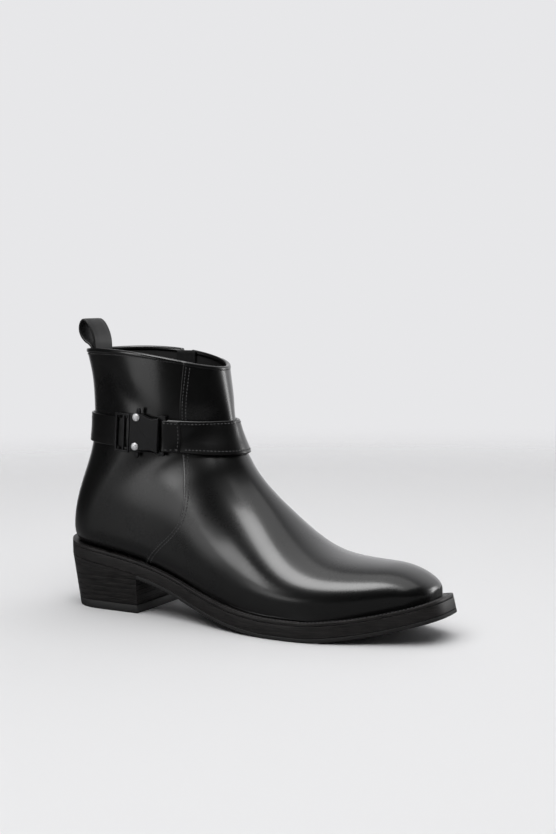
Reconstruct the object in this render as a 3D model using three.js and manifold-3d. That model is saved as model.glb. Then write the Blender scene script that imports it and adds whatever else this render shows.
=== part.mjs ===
import * as THREE from "three";
import { mergeVertices } from "three/addons/utils/BufferGeometryUtils.js";
import Module from "manifold-3d";

// A right ankle boot, in millimetres: x runs from the heel's back to the toe, y from the lateral to the
// medial side, z up from the floor.
const wasm = await Module();
wasm.setup();

// Driving sizes of the sole
const soleLength = 301;
const ballWidth = 104;
const waistWidth = 66;
const heelWidth = 66;
const toeWidth = 38;
const heelRise = 36.5; // underside of the sole band over the floor, at the very back
const toeSpring = 17;
const outsoleThick = 2.8;
const midsoleThick = 7.6;
const weltThick = 2;
const heelRound = 33; // how far the rounded back of the plan reaches
const toeRound = 15; // and the rounded corners of the squared toe
const toeLean = 3.3; // the toe end of the sole leans back this far over its thickness
const breastAt = 71.6; // front face of the heel
const heelTaper = 6.5; // the back of the heel leans in this far at the floor
const topPieceThick = 6;
const liftCount = 6;
const liftGroove = 0.45;
const liftSpread = 1.7; // the outline's points crowd towards the back of the heel by this power
const heelNarrowing = 0.05;
const endFullness = 2.5;
const toeSquareness = 3.2;
const clearance = 0.3;
const soleSteps = 64;
const heelSteps = 14;

// Driving sizes of the upper
const wall = 2;
const collarBack = 188;
const collarFront = 176;
const collarCrown = 5.2; // the collar line is this much fuller than a straight line, halfway along
const collarFrontX = 127.3;
const toeCrest = 43;
const shaftWidth = 69.5;
const heelInset = 3.5; // the feather edge lies this far inside the sole's edge
const sideInset = 6;
const toeInset = 11;
const shaftSetIn = 15.8; // the ankle is this far forward of the heel counter
const shaftRound = 56; // how far the narrower back of the shaft reaches
const tuckHeight = 16; // the upper rolls in to the feather edge over this height
const toeWall = 0.35; // share of the toe's height that stands as a front wall
const toeSlope = 34;
const toeFullness = 2.2;
const toeReach = 0.06; // keel value up to which the sections crowd round the toe
const heelReach = 0.12; // and the same at the heel
const heelSwing = 7; // the sections swing round the heel's corner this far outside it
const slimFrom = 0.05; // shares of the shaft's height between which its back turns slimmer
const slimTo = 0.75;
const toeRows = 7;
const footRows = 20;
const heelRows = 7;
const shaftRows = 13;
const sectionSteps = 24;
const seamSteps = 30;
const vampStep = 0.8;
const insoleThick = 2.5;
const insoleInset = 1; // the insole lies this far inside the wall
const insoleSteps = 48;

// Driving sizes of the ankle strap and its buckle
const strapRise = 132.6; // middle of the strap over the floor, at the back
const strapFall = 5.5; // and this much lower at the front
const strapWidth = 23.7;
const rearStrapWidth = 21.2;
const strapThick = 2.6;
const rearStrapThick = 1.7;
const strapRate = 26; // points for each half round of the ankle
const strapBehindBar = 4; // the front strap starts this far ahead of the buckle's bar
const strapBehindPlate = 1;
const strapZipShare = 1.15; // the straps end at this share of the slot's half width
const buckleAt = 82.5; // middle of the buckle's plate
const plateTilt = 0.11; // radians that the plate leans forward, and the ladder behind it
const ladderTilt = 0.06;
const plateRise = 0.7; // the plate's middle over the strap's
const plateLength = 21.9;
const plateHalf = 13.2;
const plateCrown = 0.3;
const plateWaist = 11.2;
const plateBase = 1.3;
const plateThick = 3.9;
const slotWidth = 2.4;
const foldBar = 2.2;
const foldBarHalf = 14.2;
const armThick = 1.6;
const armBite = 1; // the arms reach this far into the plate
const slotInset = 1.2;
const foldPly = 1.4;
const foldRound = 1;
const foldGap = 0.4;
const foldInset = 0.5;
const foldTail = 9;
const foldDrop = 1.6;
const foldTailThick = 2;
const ladderAt = 64;
const ladderHalf = 13.7;
const ladderBars = 1.8;
const ladderThick = 1.6;
const ladderRear = 5.9;
const ladderRail = 1.4;
const ladderMiddle = 1; // rear edge of the middle bar
const rivetAlong = -6.4; // from the middle of the plate
const rivetUp = 10.4;
const rivetRise = 0.9;
const rivetRadius = 2.4;
const rivetDome = 1.1;
const rivetRim = 0.3;
const leverReach = 4.2; // how far the two release levers stand out of the plate's edges
const leverWidth = 3;
const leverAlong = -5.2;
const leverLow = 1; // over the plate's inner face
const leverSunk = 0.8; // under its outer face

// Driving sizes of the pull loop at the back of the collar
const loopWidth = 22;
const loopThick = 1.8;
const loopRise = 21.8;
const loopSteps = 30;

// Driving sizes of the zip on the medial side
const zipAt = 76;
const zipBottom = 62;
const zipSlot = 9;
const chainWidth = 5.2;
const tapeWidth = 17;
const tapeThick = 0.8;
const tapeGap = 0.8; // the tape lies this far inside the wall, whose faces are flat between their edges
const tapeTail = 4; // the tape runs on below the slot by this much
const chainTail = 1;
const zipRows = 14;
const zipRise = 0.75; // share of the way from the collar's front to its back that the zip's top reaches
const sliderLength = 11;
const sliderWidth = 8;
const sliderDrop = 1;
const sliderProud = 1.4;
const pullLength = 21;
const pullWidth = 5.6;
const pullThick = 1.4;
const pullNeck = 3.2;
const pullShoulder = 1;
const pullCorner = 1.5;
const pinRadius = 0.8;
const pinUp = 3; // from the slider's middle, along it and out
const pinOut = 3.6;
const earInner = 2.6;
const earOuter = 3.6;
const earReach = 2;
const earRim = 0.4;
const eyeRadius = 1.9;

// Plan of the sole: half widths as shares of a named width, at shares of its length
const PLAN = [
  { at: 0, of: heelWidth, lateral: 0.48, medial: 0.48 },
  { at: 0.1, of: heelWidth, lateral: 0.501, medial: 0.492 },
  { at: 0.22, of: heelWidth, lateral: 0.512, medial: 0.473 },
  { at: 0.34, of: waistWidth, lateral: 0.552, medial: 0.449 },
  { at: 0.45, of: ballWidth, lateral: 0.425, medial: 0.315 },
  { at: 0.55, of: ballWidth, lateral: 0.5, medial: 0.385 },
  { at: 0.64, of: ballWidth, lateral: 0.53, medial: 0.425 },
  { at: 0.71, of: ballWidth, lateral: 0.525, medial: 0.452 },
  { at: 0.79, of: ballWidth, lateral: 0.47, medial: 0.422 },
  { at: 0.88, of: ballWidth, lateral: 0.36, medial: 0.3 },
  { at: 1, of: toeWidth, lateral: 0.602, medial: 0.383 },
];

// Side view of the sole's underside: shares of the heel's rise and of the toe's spring
const UNDERSIDE = [
  { at: 0, heel: 1, toe: 0 },
  { at: 0.12, heel: 0.85, toe: 0 },
  { at: 0.235, heel: 0.7, toe: 0 },
  { at: 0.33, heel: 0.507, toe: 0 },
  { at: 0.42, heel: 0.274, toe: 0 },
  { at: 0.5, heel: 0.115, toe: 0 },
  { at: 0.58, heel: 0.025, toe: 0 },
  { at: 0.68, heel: 0, toe: -0.03 },
  { at: 0.78, heel: 0, toe: 0.1 },
  { at: 0.88, heel: 0, toe: 0.41 },
  { at: 1, heel: 0, toe: 1 },
];

// Sections of the upper. Each is a plane across the boot, from the keel to the crest. The keel runs from
// the toe (0) along the sole to the heel (1) and up the back seam to the collar (2). Back and rise are
// shares of the crest's way from the toe to the front of the collar, widest is the height share of the
// fullest line, and square is the exponent that squares the form above it.
const SECTIONS = [
  { keel: 0, back: 0, rise: 0, widest: 0.3, square: 2.4 },
  { keel: 0.06, back: 0.1, rise: 0.022, widest: 0.3, square: 2.4 },
  { keel: 0.14, back: 0.246, rise: 0.033, widest: 0.3, square: 2.3 },
  { keel: 0.23, back: 0.4, rise: 0.045, widest: 0.3, square: 2.1 },
  { keel: 0.32, back: 0.539, rise: 0.1, widest: 0.27, square: 1.9 },
  { keel: 0.42, back: 0.683, rise: 0.236, widest: 0.24, square: 1.78 },
  { keel: 0.53, back: 0.807, rise: 0.377, widest: 0.24, square: 1.75 },
  { keel: 0.66, back: 0.896, rise: 0.513, widest: 0.3, square: 2.05 },
  { keel: 0.8, back: 0.939, rise: 0.62, widest: 0.35, square: 2.2 },
  { keel: 1, back: 0.962, rise: 0.715, widest: 0.4, square: 2.2 },
  { keel: 1.3, back: 0.975, rise: 0.814, widest: 0.44, square: 2.2 },
  { keel: 1.65, back: 0.987, rise: 0.907, widest: 0.47, square: 2.2 },
  { keel: 2, back: 1, rise: 1, widest: 0.5, square: 2.2 },
];

// Full half widths of those sections, as shares of a named width
const WIDTHS = [
  { keel: 0, of: toeWidth, lateral: 0.58, medial: 0.37 },
  { keel: 0.06, of: ballWidth, lateral: 0.288, medial: 0.221 },
  { keel: 0.14, of: ballWidth, lateral: 0.38, medial: 0.325 },
  { keel: 0.23, of: ballWidth, lateral: 0.447, medial: 0.4 },
  { keel: 0.32, of: ballWidth, lateral: 0.476, medial: 0.416 },
  { keel: 0.42, of: ballWidth, lateral: 0.457, medial: 0.38 },
  { keel: 0.53, of: ballWidth, lateral: 0.409, medial: 0.337 },
  { keel: 0.66, of: ballWidth, lateral: 0.361, medial: 0.317 },
  { keel: 0.8, of: shaftWidth, lateral: 0.496, medial: 0.468 },
  { keel: 1, of: shaftWidth, lateral: 0.482, medial: 0.468 },
  { keel: 1.3, of: shaftWidth, lateral: 0.482, medial: 0.475 },
  { keel: 1.65, of: shaftWidth, lateral: 0.489, medial: 0.482 },
  { keel: 2, of: shaftWidth, lateral: 0.504, medial: 0.496 },
];

// Back seam: how far it has moved forward, as shares of the set-in of the shaft
const BACK_SEAM = [
  { up: 0, forward: 0 },
  { up: 0.143, forward: 0.063 },
  { up: 0.286, forward: 0.324 },
  { up: 0.429, forward: 0.734 },
  { up: 0.571, forward: 0.983 },
  { up: 0.714, forward: 0.996 },
  { up: 0.857, forward: 0.918 },
  { up: 1, forward: 0.627 },
];

// Seam between the vamp and the quarters in side view, as shares of the sole's length and collar height
const SIDE_SEAM = [
  { along: 0.372, up: 1.06 },
  { along: 0.366, up: 0.97 },
  { along: 0.36, up: 0.88 },
  { along: 0.354, up: 0.76 },
  { along: 0.355, up: 0.65 },
  { along: 0.37, up: 0.53 },
  { along: 0.375, up: 0.45 },
  { along: 0.368, up: 0.385 },
  { along: 0.345, up: 0.335 },
  { along: 0.31, up: 0.285 },
  { along: 0.265, up: 0.215 },
  { along: 0.22, up: 0.14 },
];

// Middle line of the pull loop in side view, from the back corner of the collar, as shares of its rise
const LOOP_PATH = [
  { forward: 0.4679, up: -0.6881 },
  { forward: 0.367, up: -0.1376 },
  { forward: 0.344, up: 0.0596 },
  { forward: 0.211, up: 0.1789 },
  { forward: 0.0183, up: 0.2844 },
  { forward: -0.1422, up: 0.4679 },
  { forward: -0.2018, up: 0.7064 },
  { forward: -0.1468, up: 0.9174 },
  { forward: -0.0413, up: 1 },
  { forward: 0.055, up: 0.9083 },
  { forward: 0.2156, up: 0.5872 },
  { forward: 0.3761, up: 0.2844 },
  { forward: 0.4725, up: 0.0229 },
  { forward: 0.4862, up: -0.1835 },
  { forward: 0.578, up: -0.6881 },
];

// Outline of the buckle's plate above its middle line: shares of half its length, and half heights
const PLATE_EDGE = [
  { along: -1, half: plateHalf * 0.94 },
  { along: -0.93, half: plateHalf },
  { along: -0.3, half: plateHalf + plateCrown },
  { along: 0.1, half: plateWaist * 1.09 },
  { along: 0.4, half: plateWaist },
  { along: 0.7, half: plateWaist + plateCrown },
  { along: 1, half: plateHalf * 0.96 },
];

// A smooth curve through one column of a table: a cubic spline with free ends
function splineOf(table, at, value) {
  const x = table.map(at);
  const y = table.map(value);
  const n = x.length;
  const bend = new Array(n).fill(0);
  const sweep = new Array(n).fill(0);
  for (let i = 1; i < n - 1; i++) {
    const share = (x[i] - x[i - 1]) / (x[i + 1] - x[i - 1]);
    const pivot = share * bend[i - 1] + 2;
    const slopes = (y[i + 1] - y[i]) / (x[i + 1] - x[i]) - (y[i] - y[i - 1]) / (x[i] - x[i - 1]);
    bend[i] = (share - 1) / pivot;
    sweep[i] = ((6 * slopes) / (x[i + 1] - x[i - 1]) - share * sweep[i - 1]) / pivot;
  }
  bend[n - 1] = 0;
  for (let i = n - 2; i >= 0; i--) bend[i] = bend[i] * bend[i + 1] + sweep[i];
  return (t) => {
    let i = 0;
    while (i < n - 2 && t > x[i + 1]) i++;
    const h = x[i + 1] - x[i];
    const a = (x[i + 1] - t) / h;
    const b = (t - x[i]) / h;
    const cubic = (a ** 3 - a) * bend[i] + (b ** 3 - b) * bend[i + 1];
    return a * y[i] + b * y[i + 1] + (cubic * h * h) / 6;
  };
}

const clamp = THREE.MathUtils.clamp;
const lerp = THREE.MathUtils.lerp;

// Share of the full width that is left at a distance from a rounded end
function roundEnd(distance, reach, fullness, squareness) {
  return (1 - clamp(1 - distance / reach, 0, 1) ** fullness) ** (1 / squareness);
}

const bandThick = outsoleThick + midsoleThick + weltThick + 2 * clearance;
const planLateral = splineOf(PLAN, (r) => r.at, (r) => r.of * r.lateral);
const planMedial = splineOf(PLAN, (r) => r.at, (r) => r.of * r.medial);
const undersideLine = splineOf(UNDERSIDE, (r) => r.at, (r) => r.heel * heelRise + r.toe * toeSpring);

function planHalf(x, side) {
  return side < 0 ? planLateral(x / soleLength) : planMedial(x / soleLength);
}

function underside(x) {
  return Math.max(0, undersideLine(clamp(x, 0, soleLength) / soleLength));
}

function soleTop(x) {
  return underside(x) + bandThick;
}

// Closed meshes from point loops of equal length, joined one to the next and capped at both ends
function loft(loops) {
  const width = loops[0].length;
  const faces = [];
  for (let i = 0; i < loops.length - 1; i++) {
    for (let j = 0; j < width; j++) {
      const k = (j + 1) % width;
      const a = i * width;
      const b = a + width;
      faces.push([a + j, a + k, b + k], [a + j, b + k, b + j]);
    }
  }
  const end = (loops.length - 1) * width;
  for (let j = 0; j < Math.floor((width - 1) / 2); j++) {
    const [a, b, c, d] = [j, j + 1, width - 2 - j, width - 1 - j];
    faces.push([a, c, b], [a, d, c]);
    faces.push([end + a, end + b, end + c], [end + a, end + c, end + d]);
  }
  return meshSolid(loops.flat(), faces);
}

// A solid from points and faces: shared points are merged, empty faces dropped, and it is turned outward
function meshSolid(points, faces) {
  const geometry = new THREE.BufferGeometry().setFromPoints(points);
  geometry.setIndex(faces.flat());
  return solidOf(geometry);
}

function solidOf(geometry) {
  const bare = geometry.clone();
  bare.deleteAttribute("normal");
  bare.deleteAttribute("uv");
  const merged = mergeVertices(bare, 1e-3);
  const index = merged.index.array;
  const kept = [];
  for (let i = 0; i < index.length; i += 3) {
    const [a, b, c] = [index[i], index[i + 1], index[i + 2]];
    if (a !== b && b !== c && c !== a) kept.push(a, b, c);
  }
  const vertProperties = new Float32Array(merged.attributes.position.array);
  const build = (turned) =>
    new wasm.Manifold(
      new wasm.Mesh({ numProp: 3, vertProperties, triVerts: new Uint32Array(turned) }),
    );
  const made = build(kept);
  return made.volume() > 0 ? made : build(kept.reverse());
}

// Shares from 0 to 1 that lie closer together towards both ends
function easedShares(count) {
  return Array.from({ length: count + 1 }, (_, i) => (1 - Math.cos((Math.PI * i) / count)) / 2);
}

// The sole's half width, drawn in all round by an inset, with the toe end leaning back with height
function soleHalf(x, side, inset, height) {
  const toeEnd = soleLength - inset - (toeLean * height) / bandThick;
  const back = roundEnd(x - inset, heelRound - inset, endFullness, 2);
  const front = roundEnd(toeEnd - x, toeRound, endFullness, toeSquareness);
  return (planHalf(x, side) - inset) * back * front;
}

// One layer of the sole, between two heights over its underside
function soleLayer(from, low, high, inset) {
  const loops = easedShares(soleSteps).map((share) => {
    const corner = (side, height) => {
      const toeEnd = soleLength - inset - (toeLean * height) / bandThick;
      const x = lerp(from, toeEnd, share);
      return new THREE.Vector3(x, side * soleHalf(x, side, inset, height), underside(x) + height);
    };
    return [corner(-1, low), corner(1, low), corner(1, high), corner(-1, high)];
  });
  return loft(loops);
}

// The heel's outline at one level, narrowed and leaning in towards the floor
function heelLoop(levelOf, inset) {
  const outline = [];
  for (let i = -heelSteps; i <= heelSteps; i++) {
    const side = i < 0 ? -1 : 1;
    const along = Math.abs(i / heelSteps) ** liftSpread;
    const x = lerp(inset, breastAt, along);
    const top = underside(x) + outsoleThick;
    const level = levelOf(top);
    const down = 1 - level / top;
    const back = heelTaper * down * (1 - x / breastAt);
    const half = soleHalf(x, side, inset, 0) * (1 - heelNarrowing * down);
    outline.push(new THREE.Vector3(x + back, i === 0 ? 0 : side * half, level));
  }
  return outline;
}

function heelStack() {
  const low = topPieceThick + clearance;
  const breastTop = underside(breastAt) + outsoleThick;
  const loops = [heelLoop(() => low, 0)];
  for (let k = 1; k < liftCount; k++) {
    const level = lerp(low, breastTop, k / liftCount);
    loops.push(heelLoop(() => level - liftGroove, 0));
    loops.push(heelLoop(() => level, liftGroove));
    loops.push(heelLoop(() => level + liftGroove, 0));
  }
  loops.push(heelLoop((top) => top, 0));
  return loft(loops);
}

// The upper: its back seam, keel and crest in side view
const seatBack = soleTop(heelInset) + clearance;
const crestBack = splineOf(SECTIONS, (r) => r.keel, (r) => r.back);
const crestRise = splineOf(SECTIONS, (r) => r.keel, (r) => r.rise);
const widestAt = splineOf(SECTIONS, (r) => r.keel, (r) => r.widest);
const lateralAt = splineOf(WIDTHS, (r) => r.keel, (r) => r.of * r.lateral);
const medialAt = splineOf(WIDTHS, (r) => r.keel, (r) => r.of * r.medial);
const squareAt = splineOf(SECTIONS, (r) => r.keel, (r) => r.square);
const backForward = splineOf(BACK_SEAM, (r) => r.up, (r) => r.forward);
const footFront = soleLength - toeInset;

function shaftShare(z) {
  return clamp((z - seatBack) / (collarBack - seatBack), 0, 1);
}

function backSeam(z) {
  return heelInset + shaftSetIn * backForward(shaftShare(z));
}

// The low end of each section's plane: along the sole, round outside the heel's corner, up the back seam
const LOW_ENDS = SECTIONS.map(({ keel }) => {
  const x = lerp(footFront, heelInset, Math.min(keel, 1));
  const z = lerp(seatBack, collarBack, keel - 1);
  if (keel < 1) return { keel, x, z: soleTop(x) + clearance };
  if (keel > 1) return { keel, x: backSeam(z), z };
  return { keel, x: x - heelSwing, z: z - heelSwing };
});
const lowX = splineOf(LOW_ENDS, (r) => r.keel, (r) => r.x);
const lowZ = splineOf(LOW_ENDS, (r) => r.keel, (r) => r.z);

function outerCrest(keel) {
  const toe = roundEnd(footFront - lowX(keel), toeSlope, toeFullness, 2);
  const x = lerp(footFront, collarFrontX, crestBack(keel));
  const z = lerp(toeCrest, collarFront, crestRise(keel));
  return new THREE.Vector3(x, 0, lerp(lowZ(keel), z, lerp(toeWall, 1, toe)));
}

function crestPoint(keel, inset, spill) {
  const step = 1e-4;
  const here = outerCrest(keel);
  const along = outerCrest(Math.min(keel + step, 2)).sub(outerCrest(Math.max(keel - step, 0))).normalize();
  const lift = keel > 1 ? spill * (keel - 1) : 0;
  return new THREE.Vector3(here.x - along.z * inset, 0, here.z + along.x * inset + lift);
}

// One section at an inset from the outer face. The spill is how far an inner form reaches out of the two
// openings. The section starts where its line enters the boot, at the sole or the back seam.
function section(keel, inset = 0, spill = 0) {
  const lift = spill * Math.max(0, keel - 1);
  const toeShift = inset * Math.max(0, 1 - keel / toeReach);
  const low = new THREE.Vector3(lowX(keel) - toeShift, 0, lowZ(keel) + lift);
  const high = crestPoint(keel, inset, spill);
  const depth = (share) => {
    const x = lerp(low.x, high.x, share);
    const z = lerp(low.z, high.z, share);
    return Math.min(z - soleTop(x) - clearance + spill, x - backSeam(z) - inset);
  };
  let [outside, start] = [-0.5, 0.5];
  for (let i = 0; i < 40; i++) {
    const middle = (outside + start) / 2;
    if (depth(middle) < 0) outside = middle;
    else start = middle;
  }
  return {
    keel,
    inset,
    low,
    high,
    start,
    widest: widestAt(keel),
    lateral: lateralAt(keel) - inset,
    medial: medialAt(keel) - inset,
    square: squareAt(keel),
  };
}

// The keel value whose line meets the corner of the heel
function cornerKeel(inset, spill) {
  const side = (keel) => {
    const cut = section(keel, inset, spill);
    const z = seatBack - spill;
    const x = heelInset + inset;
    return (cut.high.x - cut.low.x) * (z - cut.low.z) - (cut.high.z - cut.low.z) * (x - cut.low.x);
  };
  let [before, after] = [0.8, 1.3];
  for (let i = 0; i < 40; i++) {
    const middle = (before + after) / 2;
    if (side(middle) > 0) before = middle;
    else after = middle;
  }
  return (before + after) / 2;
}

// Half width of the feather edge, where the upper meets the sole
function featherHalf(x, side, inset) {
  return planHalf(x, side) - sideInset - inset;
}

// Share of the full width near the heel and toe. The back is a full round at the sole and a narrower,
// elliptical one up the shaft, and up is the share of the way to the collar.
function footEnds(fromBack, fromFront, inset, up) {
  const slim = THREE.MathUtils.smoothstep(up, slimFrom, slimTo);
  const reach = lerp(heelRound - heelInset, shaftRound, slim) - inset;
  const back = roundEnd(fromBack, reach, lerp(endFullness, 2, slim), 2);
  return back * roundEnd(fromFront, toeRound - clearance - inset, endFullness, toeSquareness);
}

// A point of a section: turn runs from 0 at the lateral sole edge over 1 at the crest to 2 at the medial
// edge. Behind the heel both ends meet on the back seam.
function sectionPoint(cut, turn) {
  const share = lerp(cut.start, 1, (1 - Math.cos(Math.PI * turn)) / 2);
  const side = turn < 1 ? -1 : 1;
  const x = lerp(cut.low.x, cut.high.x, share);
  const crown = collarCrown * 4 * share * (1 - share) * Math.max(0, cut.keel - 1) ** 3;
  const z = lerp(cut.low.z, cut.high.z, share) + crown;
  const over = Math.max(0, (share - cut.widest) / (1 - cut.widest));
  const full = (side < 0 ? cut.lateral : cut.medial) * Math.sqrt(Math.max(0, 1 - over ** cut.square));
  const rise = Math.max(0, z - soleTop(x) - clearance);
  const tuck = Math.max(0, 1 - rise / tuckHeight) ** 3;
  const ends = footEnds(x - backSeam(z) - cut.inset, footFront - cut.inset - x, cut.inset, shaftShare(z));
  const half = ends * lerp(full, featherHalf(x, side, cut.inset), tuck);
  return new THREE.Vector3(x, turn === 1 ? 0 : side * half, z);
}

function keelRows(corner) {
  const rows = (count, keelOf) => Array.from({ length: count }, (_, i) => keelOf(i / count));
  return [
    ...rows(toeRows, (t) => toeReach * (1 - Math.cos((Math.PI * t) / 2))),
    ...rows(footRows, (t) => lerp(toeReach, corner - heelReach, t)),
    ...rows(heelRows, (t) => corner - heelReach * (1 - t) ** 2),
    ...rows(shaftRows, (t) => lerp(corner, 2, t)),
    2,
  ];
}

// The whole form of the foot and shaft at an inset from the outer face
function lastForm(inset, spill) {
  const turns = Array.from({ length: sectionSteps + 1 }, (_, i) => (2 * i) / sectionSteps);
  const corner = cornerKeel(inset, spill);
  return loft(
    keelRows(corner).map((keel) => {
      const cut = section(keel, inset, spill);
      return turns.map((turn) => sectionPoint(cut, turn));
    }),
  );
}

// A prism right across the boot over an outline in side view
function acrossPrism(outline) {
  const shape = new THREE.Shape(outline.map((p) => new THREE.Vector2(p.x, p.y)));
  const depth = 3 * ballWidth;
  const geometry = new THREE.ExtrudeGeometry(shape, { depth, bevelEnabled: false });
  geometry.translate(0, 0, -depth / 2).rotateX(Math.PI / 2);
  return solidOf(geometry);
}

function sideSeam() {
  const points = SIDE_SEAM.map((r) => new THREE.Vector2(r.along * soleLength, r.up * collarBack));
  return new THREE.SplineCurve(points).getPoints(seamSteps);
}

function vampOutline() {
  const far = 2 * soleLength;
  const seam = sideSeam();
  const corners = [new THREE.Vector2(seam.at(-1).x, -far), new THREE.Vector2(far, -far)];
  return [new THREE.Vector2(far, seam[0].y), ...seam, ...corners];
}

function zipOpening() {
  const height = collarBack;
  const box = new THREE.BoxGeometry(zipSlot, ballWidth, height);
  return solidOf(box.translate(zipAt, ballWidth / 2, zipBottom + height / 2));
}

function upperSolid() {
  const vamp = lastForm(-vampStep, 0).intersect(acrossPrism(vampOutline()));
  return lastForm(0, 0).add(vamp).subtract(lastForm(wall, 2 * wall)).subtract(zipOpening());
}

// Points of the upper's outer face, by section and turn. The turn runs on across the back seam.
function facePoint(keel, turn) {
  return sectionPoint(section(keel), ((turn % 2) + 2) % 2);
}

function faceNormal(keel, turn) {
  const step = 1e-3;
  const up = facePoint(keel + step, turn).sub(facePoint(keel - step, turn));
  const round = facePoint(keel, turn + step).sub(facePoint(keel, turn - step));
  return round.cross(up).normalize();
}

function lifted(keel, turn, lift) {
  return facePoint(keel, turn).addScaledVector(faceNormal(keel, turn), lift);
}

// Halving a range until it closes on the value where a rising quantity passes zero
function rootOf(quantity, from, to) {
  let [low, high] = [from, to];
  for (let i = 0; i < 30; i++) {
    const middle = (low + high) / 2;
    if (quantity(middle) < 0) low = middle;
    else high = middle;
  }
  return (low + high) / 2;
}

// The keel and turn of the outer face at a place in side view
function placeOn(x, z, side) {
  const shareAt = (cut) => (x - cut.low.x) / (cut.high.x - cut.low.x);
  const crownAt = (cut, share) => collarCrown * 4 * share * (1 - share) * Math.max(0, cut.keel - 1) ** 3;
  const keel = rootOf(
    (k) => {
      const cut = section(k);
      const share = shareAt(cut);
      return lerp(cut.low.z, cut.high.z, share) + crownAt(cut, share) - z;
    },
    0.6,
    2.1,
  );
  const cut = section(keel);
  const way = clamp((shareAt(cut) - cut.start) / (1 - cut.start), 0, 1);
  const turn = Math.acos(1 - 2 * way) / Math.PI;
  return { keel, turn: side < 0 ? turn : 2 - turn };
}

function onFace(x, z, side, lift) {
  const place = placeOn(x, z, side);
  return lifted(place.keel, place.turn, lift);
}

// The strap: its edges in side view, and a length of it laid round the ankle between two turns
function strapLine(x) {
  const along = Math.max(0, (x - heelInset) / (collarFrontX - heelInset));
  return strapRise - strapFall * along ** 1.5;
}

function strapPoint(turn, up, lift) {
  const over = (keel) => {
    const p = facePoint(keel, turn);
    return p.z - strapLine(p.x) - up;
  };
  return lifted(rootOf(over, 0.5, 2), turn, lift);
}

function strapLength(from, to, width, low, high) {
  const steps = Math.round(Math.abs(to - from) * strapRate);
  const loops = Array.from({ length: steps + 1 }, (_, i) => {
    const turn = lerp(from, to, i / steps);
    const under = [-1, 0, 1].map((edge) => strapPoint(turn, (edge * width) / 2, low));
    const over = [1, 0, -1].map((edge) => strapPoint(turn, (edge * width) / 2, high));
    return [...under, ...over];
  });
  return loft(loops);
}

function strapTurn(x, side) {
  return placeOn(x, strapLine(x), side).turn;
}

// A flat frame that touches the outer face: first axis along the boot, second up, third outwards
function touching(x, z, side, tilt) {
  const place = placeOn(x, z, side);
  const out = faceNormal(place.keel, place.turn);
  const along = new THREE.Vector3(-side, 0, 0).addScaledVector(out, side * out.x).normalize();
  along.applyAxisAngle(out, tilt);
  const up = out.clone().cross(along);
  return new THREE.Matrix4().makeBasis(along, up, out).setPosition(facePoint(place.keel, place.turn));
}

// A plate over an outline of [along, up] points in such a frame, with holes cut through it
function flatPiece(frame, outline, low, high, holes = []) {
  const slab = (points, from, to) => {
    const shape = new THREE.Shape(points.map(([a, b]) => new THREE.Vector2(a, b)));
    const geometry = new THREE.ExtrudeGeometry(shape, { depth: to - from, bevelEnabled: false });
    return solidOf(geometry.translate(0, 0, from).applyMatrix4(frame));
  };
  const cut = (made, hole) => made.subtract(slab(hole, low - 1, high + 1));
  return holes.reduce(cut, slab(outline, low, high));
}

// A bar across such a frame over an outline of [along, out] points
function crossPiece(frame, outline, half, holes = []) {
  const across = new THREE.Matrix4().makeRotationX(Math.PI / 2).setPosition(0, half, 0);
  return flatPiece(frame.clone().multiply(across), outline, 0, 2 * half, holes);
}

const rectangle = (a0, b0, a1, b1) => [
  [a0, b0],
  [a1, b0],
  [a1, b1],
  [a0, b1],
];

const buckleFrame = touching(buckleAt, strapLine(buckleAt) + plateRise, -1, -plateTilt);
const ladderFrame = touching(ladderAt, strapLine(ladderAt), -1, -ladderTilt);
const plateEnd = plateLength / 2;
const slotEnd = plateEnd + slotWidth;
const foldEnd = slotEnd + foldBar;
const foldLow = plateBase;
const foldHigh = foldLow + armThick;

// The plate: waisted, with a slot and a bar in front that the strap is folded round
function buckleBody() {
  const edge = PLATE_EDGE.map((r) => [r.along * plateEnd, r.half]);
  const mirrored = PLATE_EDGE.map((r) => [r.along * plateEnd, -r.half]);
  const slab = flatPiece(buckleFrame, [...mirrored, ...edge.reverse()], plateBase, plateBase + plateThick);
  const arms = rectangle(plateEnd - armBite, -foldBarHalf, foldEnd, foldBarHalf);
  const slot = rectangle(plateEnd, slotInset - plateHalf, slotEnd, plateHalf - slotInset);
  return slab.add(flatPiece(buckleFrame, arms, foldLow, foldHigh, [slot]));
}

// The ladder that the rear strap runs under: two rails and three bars
function buckleLadder() {
  const front = buckleAt - plateEnd - ladderAt - clearance;
  const inner = ladderHalf - ladderRail;
  const outline = rectangle(-ladderRear, -ladderHalf, front, ladderHalf);
  const slots = [
    rectangle(ladderBars - ladderRear, -inner, ladderMiddle, inner),
    rectangle(ladderMiddle + ladderBars, -inner, front - ladderMiddle, inner),
  ];
  const base = clearance + rearStrapThick + 2 * clearance;
  return flatPiece(ladderFrame, outline, base, base + ladderThick, slots);
}

// The strap's folded end, a sleeve of one ply round the bar
function foldSleeve(half) {
  const inside = rectangle(slotEnd - foldGap, foldLow - foldGap, foldEnd + foldGap, foldHigh + foldGap);
  const rear = slotEnd - foldGap - foldPly;
  const low = foldLow - foldGap - foldPly;
  const high = foldHigh + foldGap + foldPly;
  const tail = foldEnd + foldTail;
  const outline = [
    [rear, low + foldRound],
    [rear + foldRound, low],
    [foldEnd + foldRound, low],
    [tail, low - foldDrop],
    [tail, low - foldDrop + foldTailThick],
    [foldEnd + foldRound, high],
    [rear + foldRound, high],
    [rear, high - foldRound],
  ];
  return crossPiece(buckleFrame, outline, half, [inside]);
}

// A round peg that stands out of the plate, turned from a profile of [radius, out] points
function roundPeg(along, up, profile) {
  const points = profile.map(([r, out]) => new THREE.Vector2(r, out));
  const geometry = new THREE.LatheGeometry(points, 16).rotateX(Math.PI / 2).translate(along, up, 0);
  return solidOf(geometry.applyMatrix4(buckleFrame));
}

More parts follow.
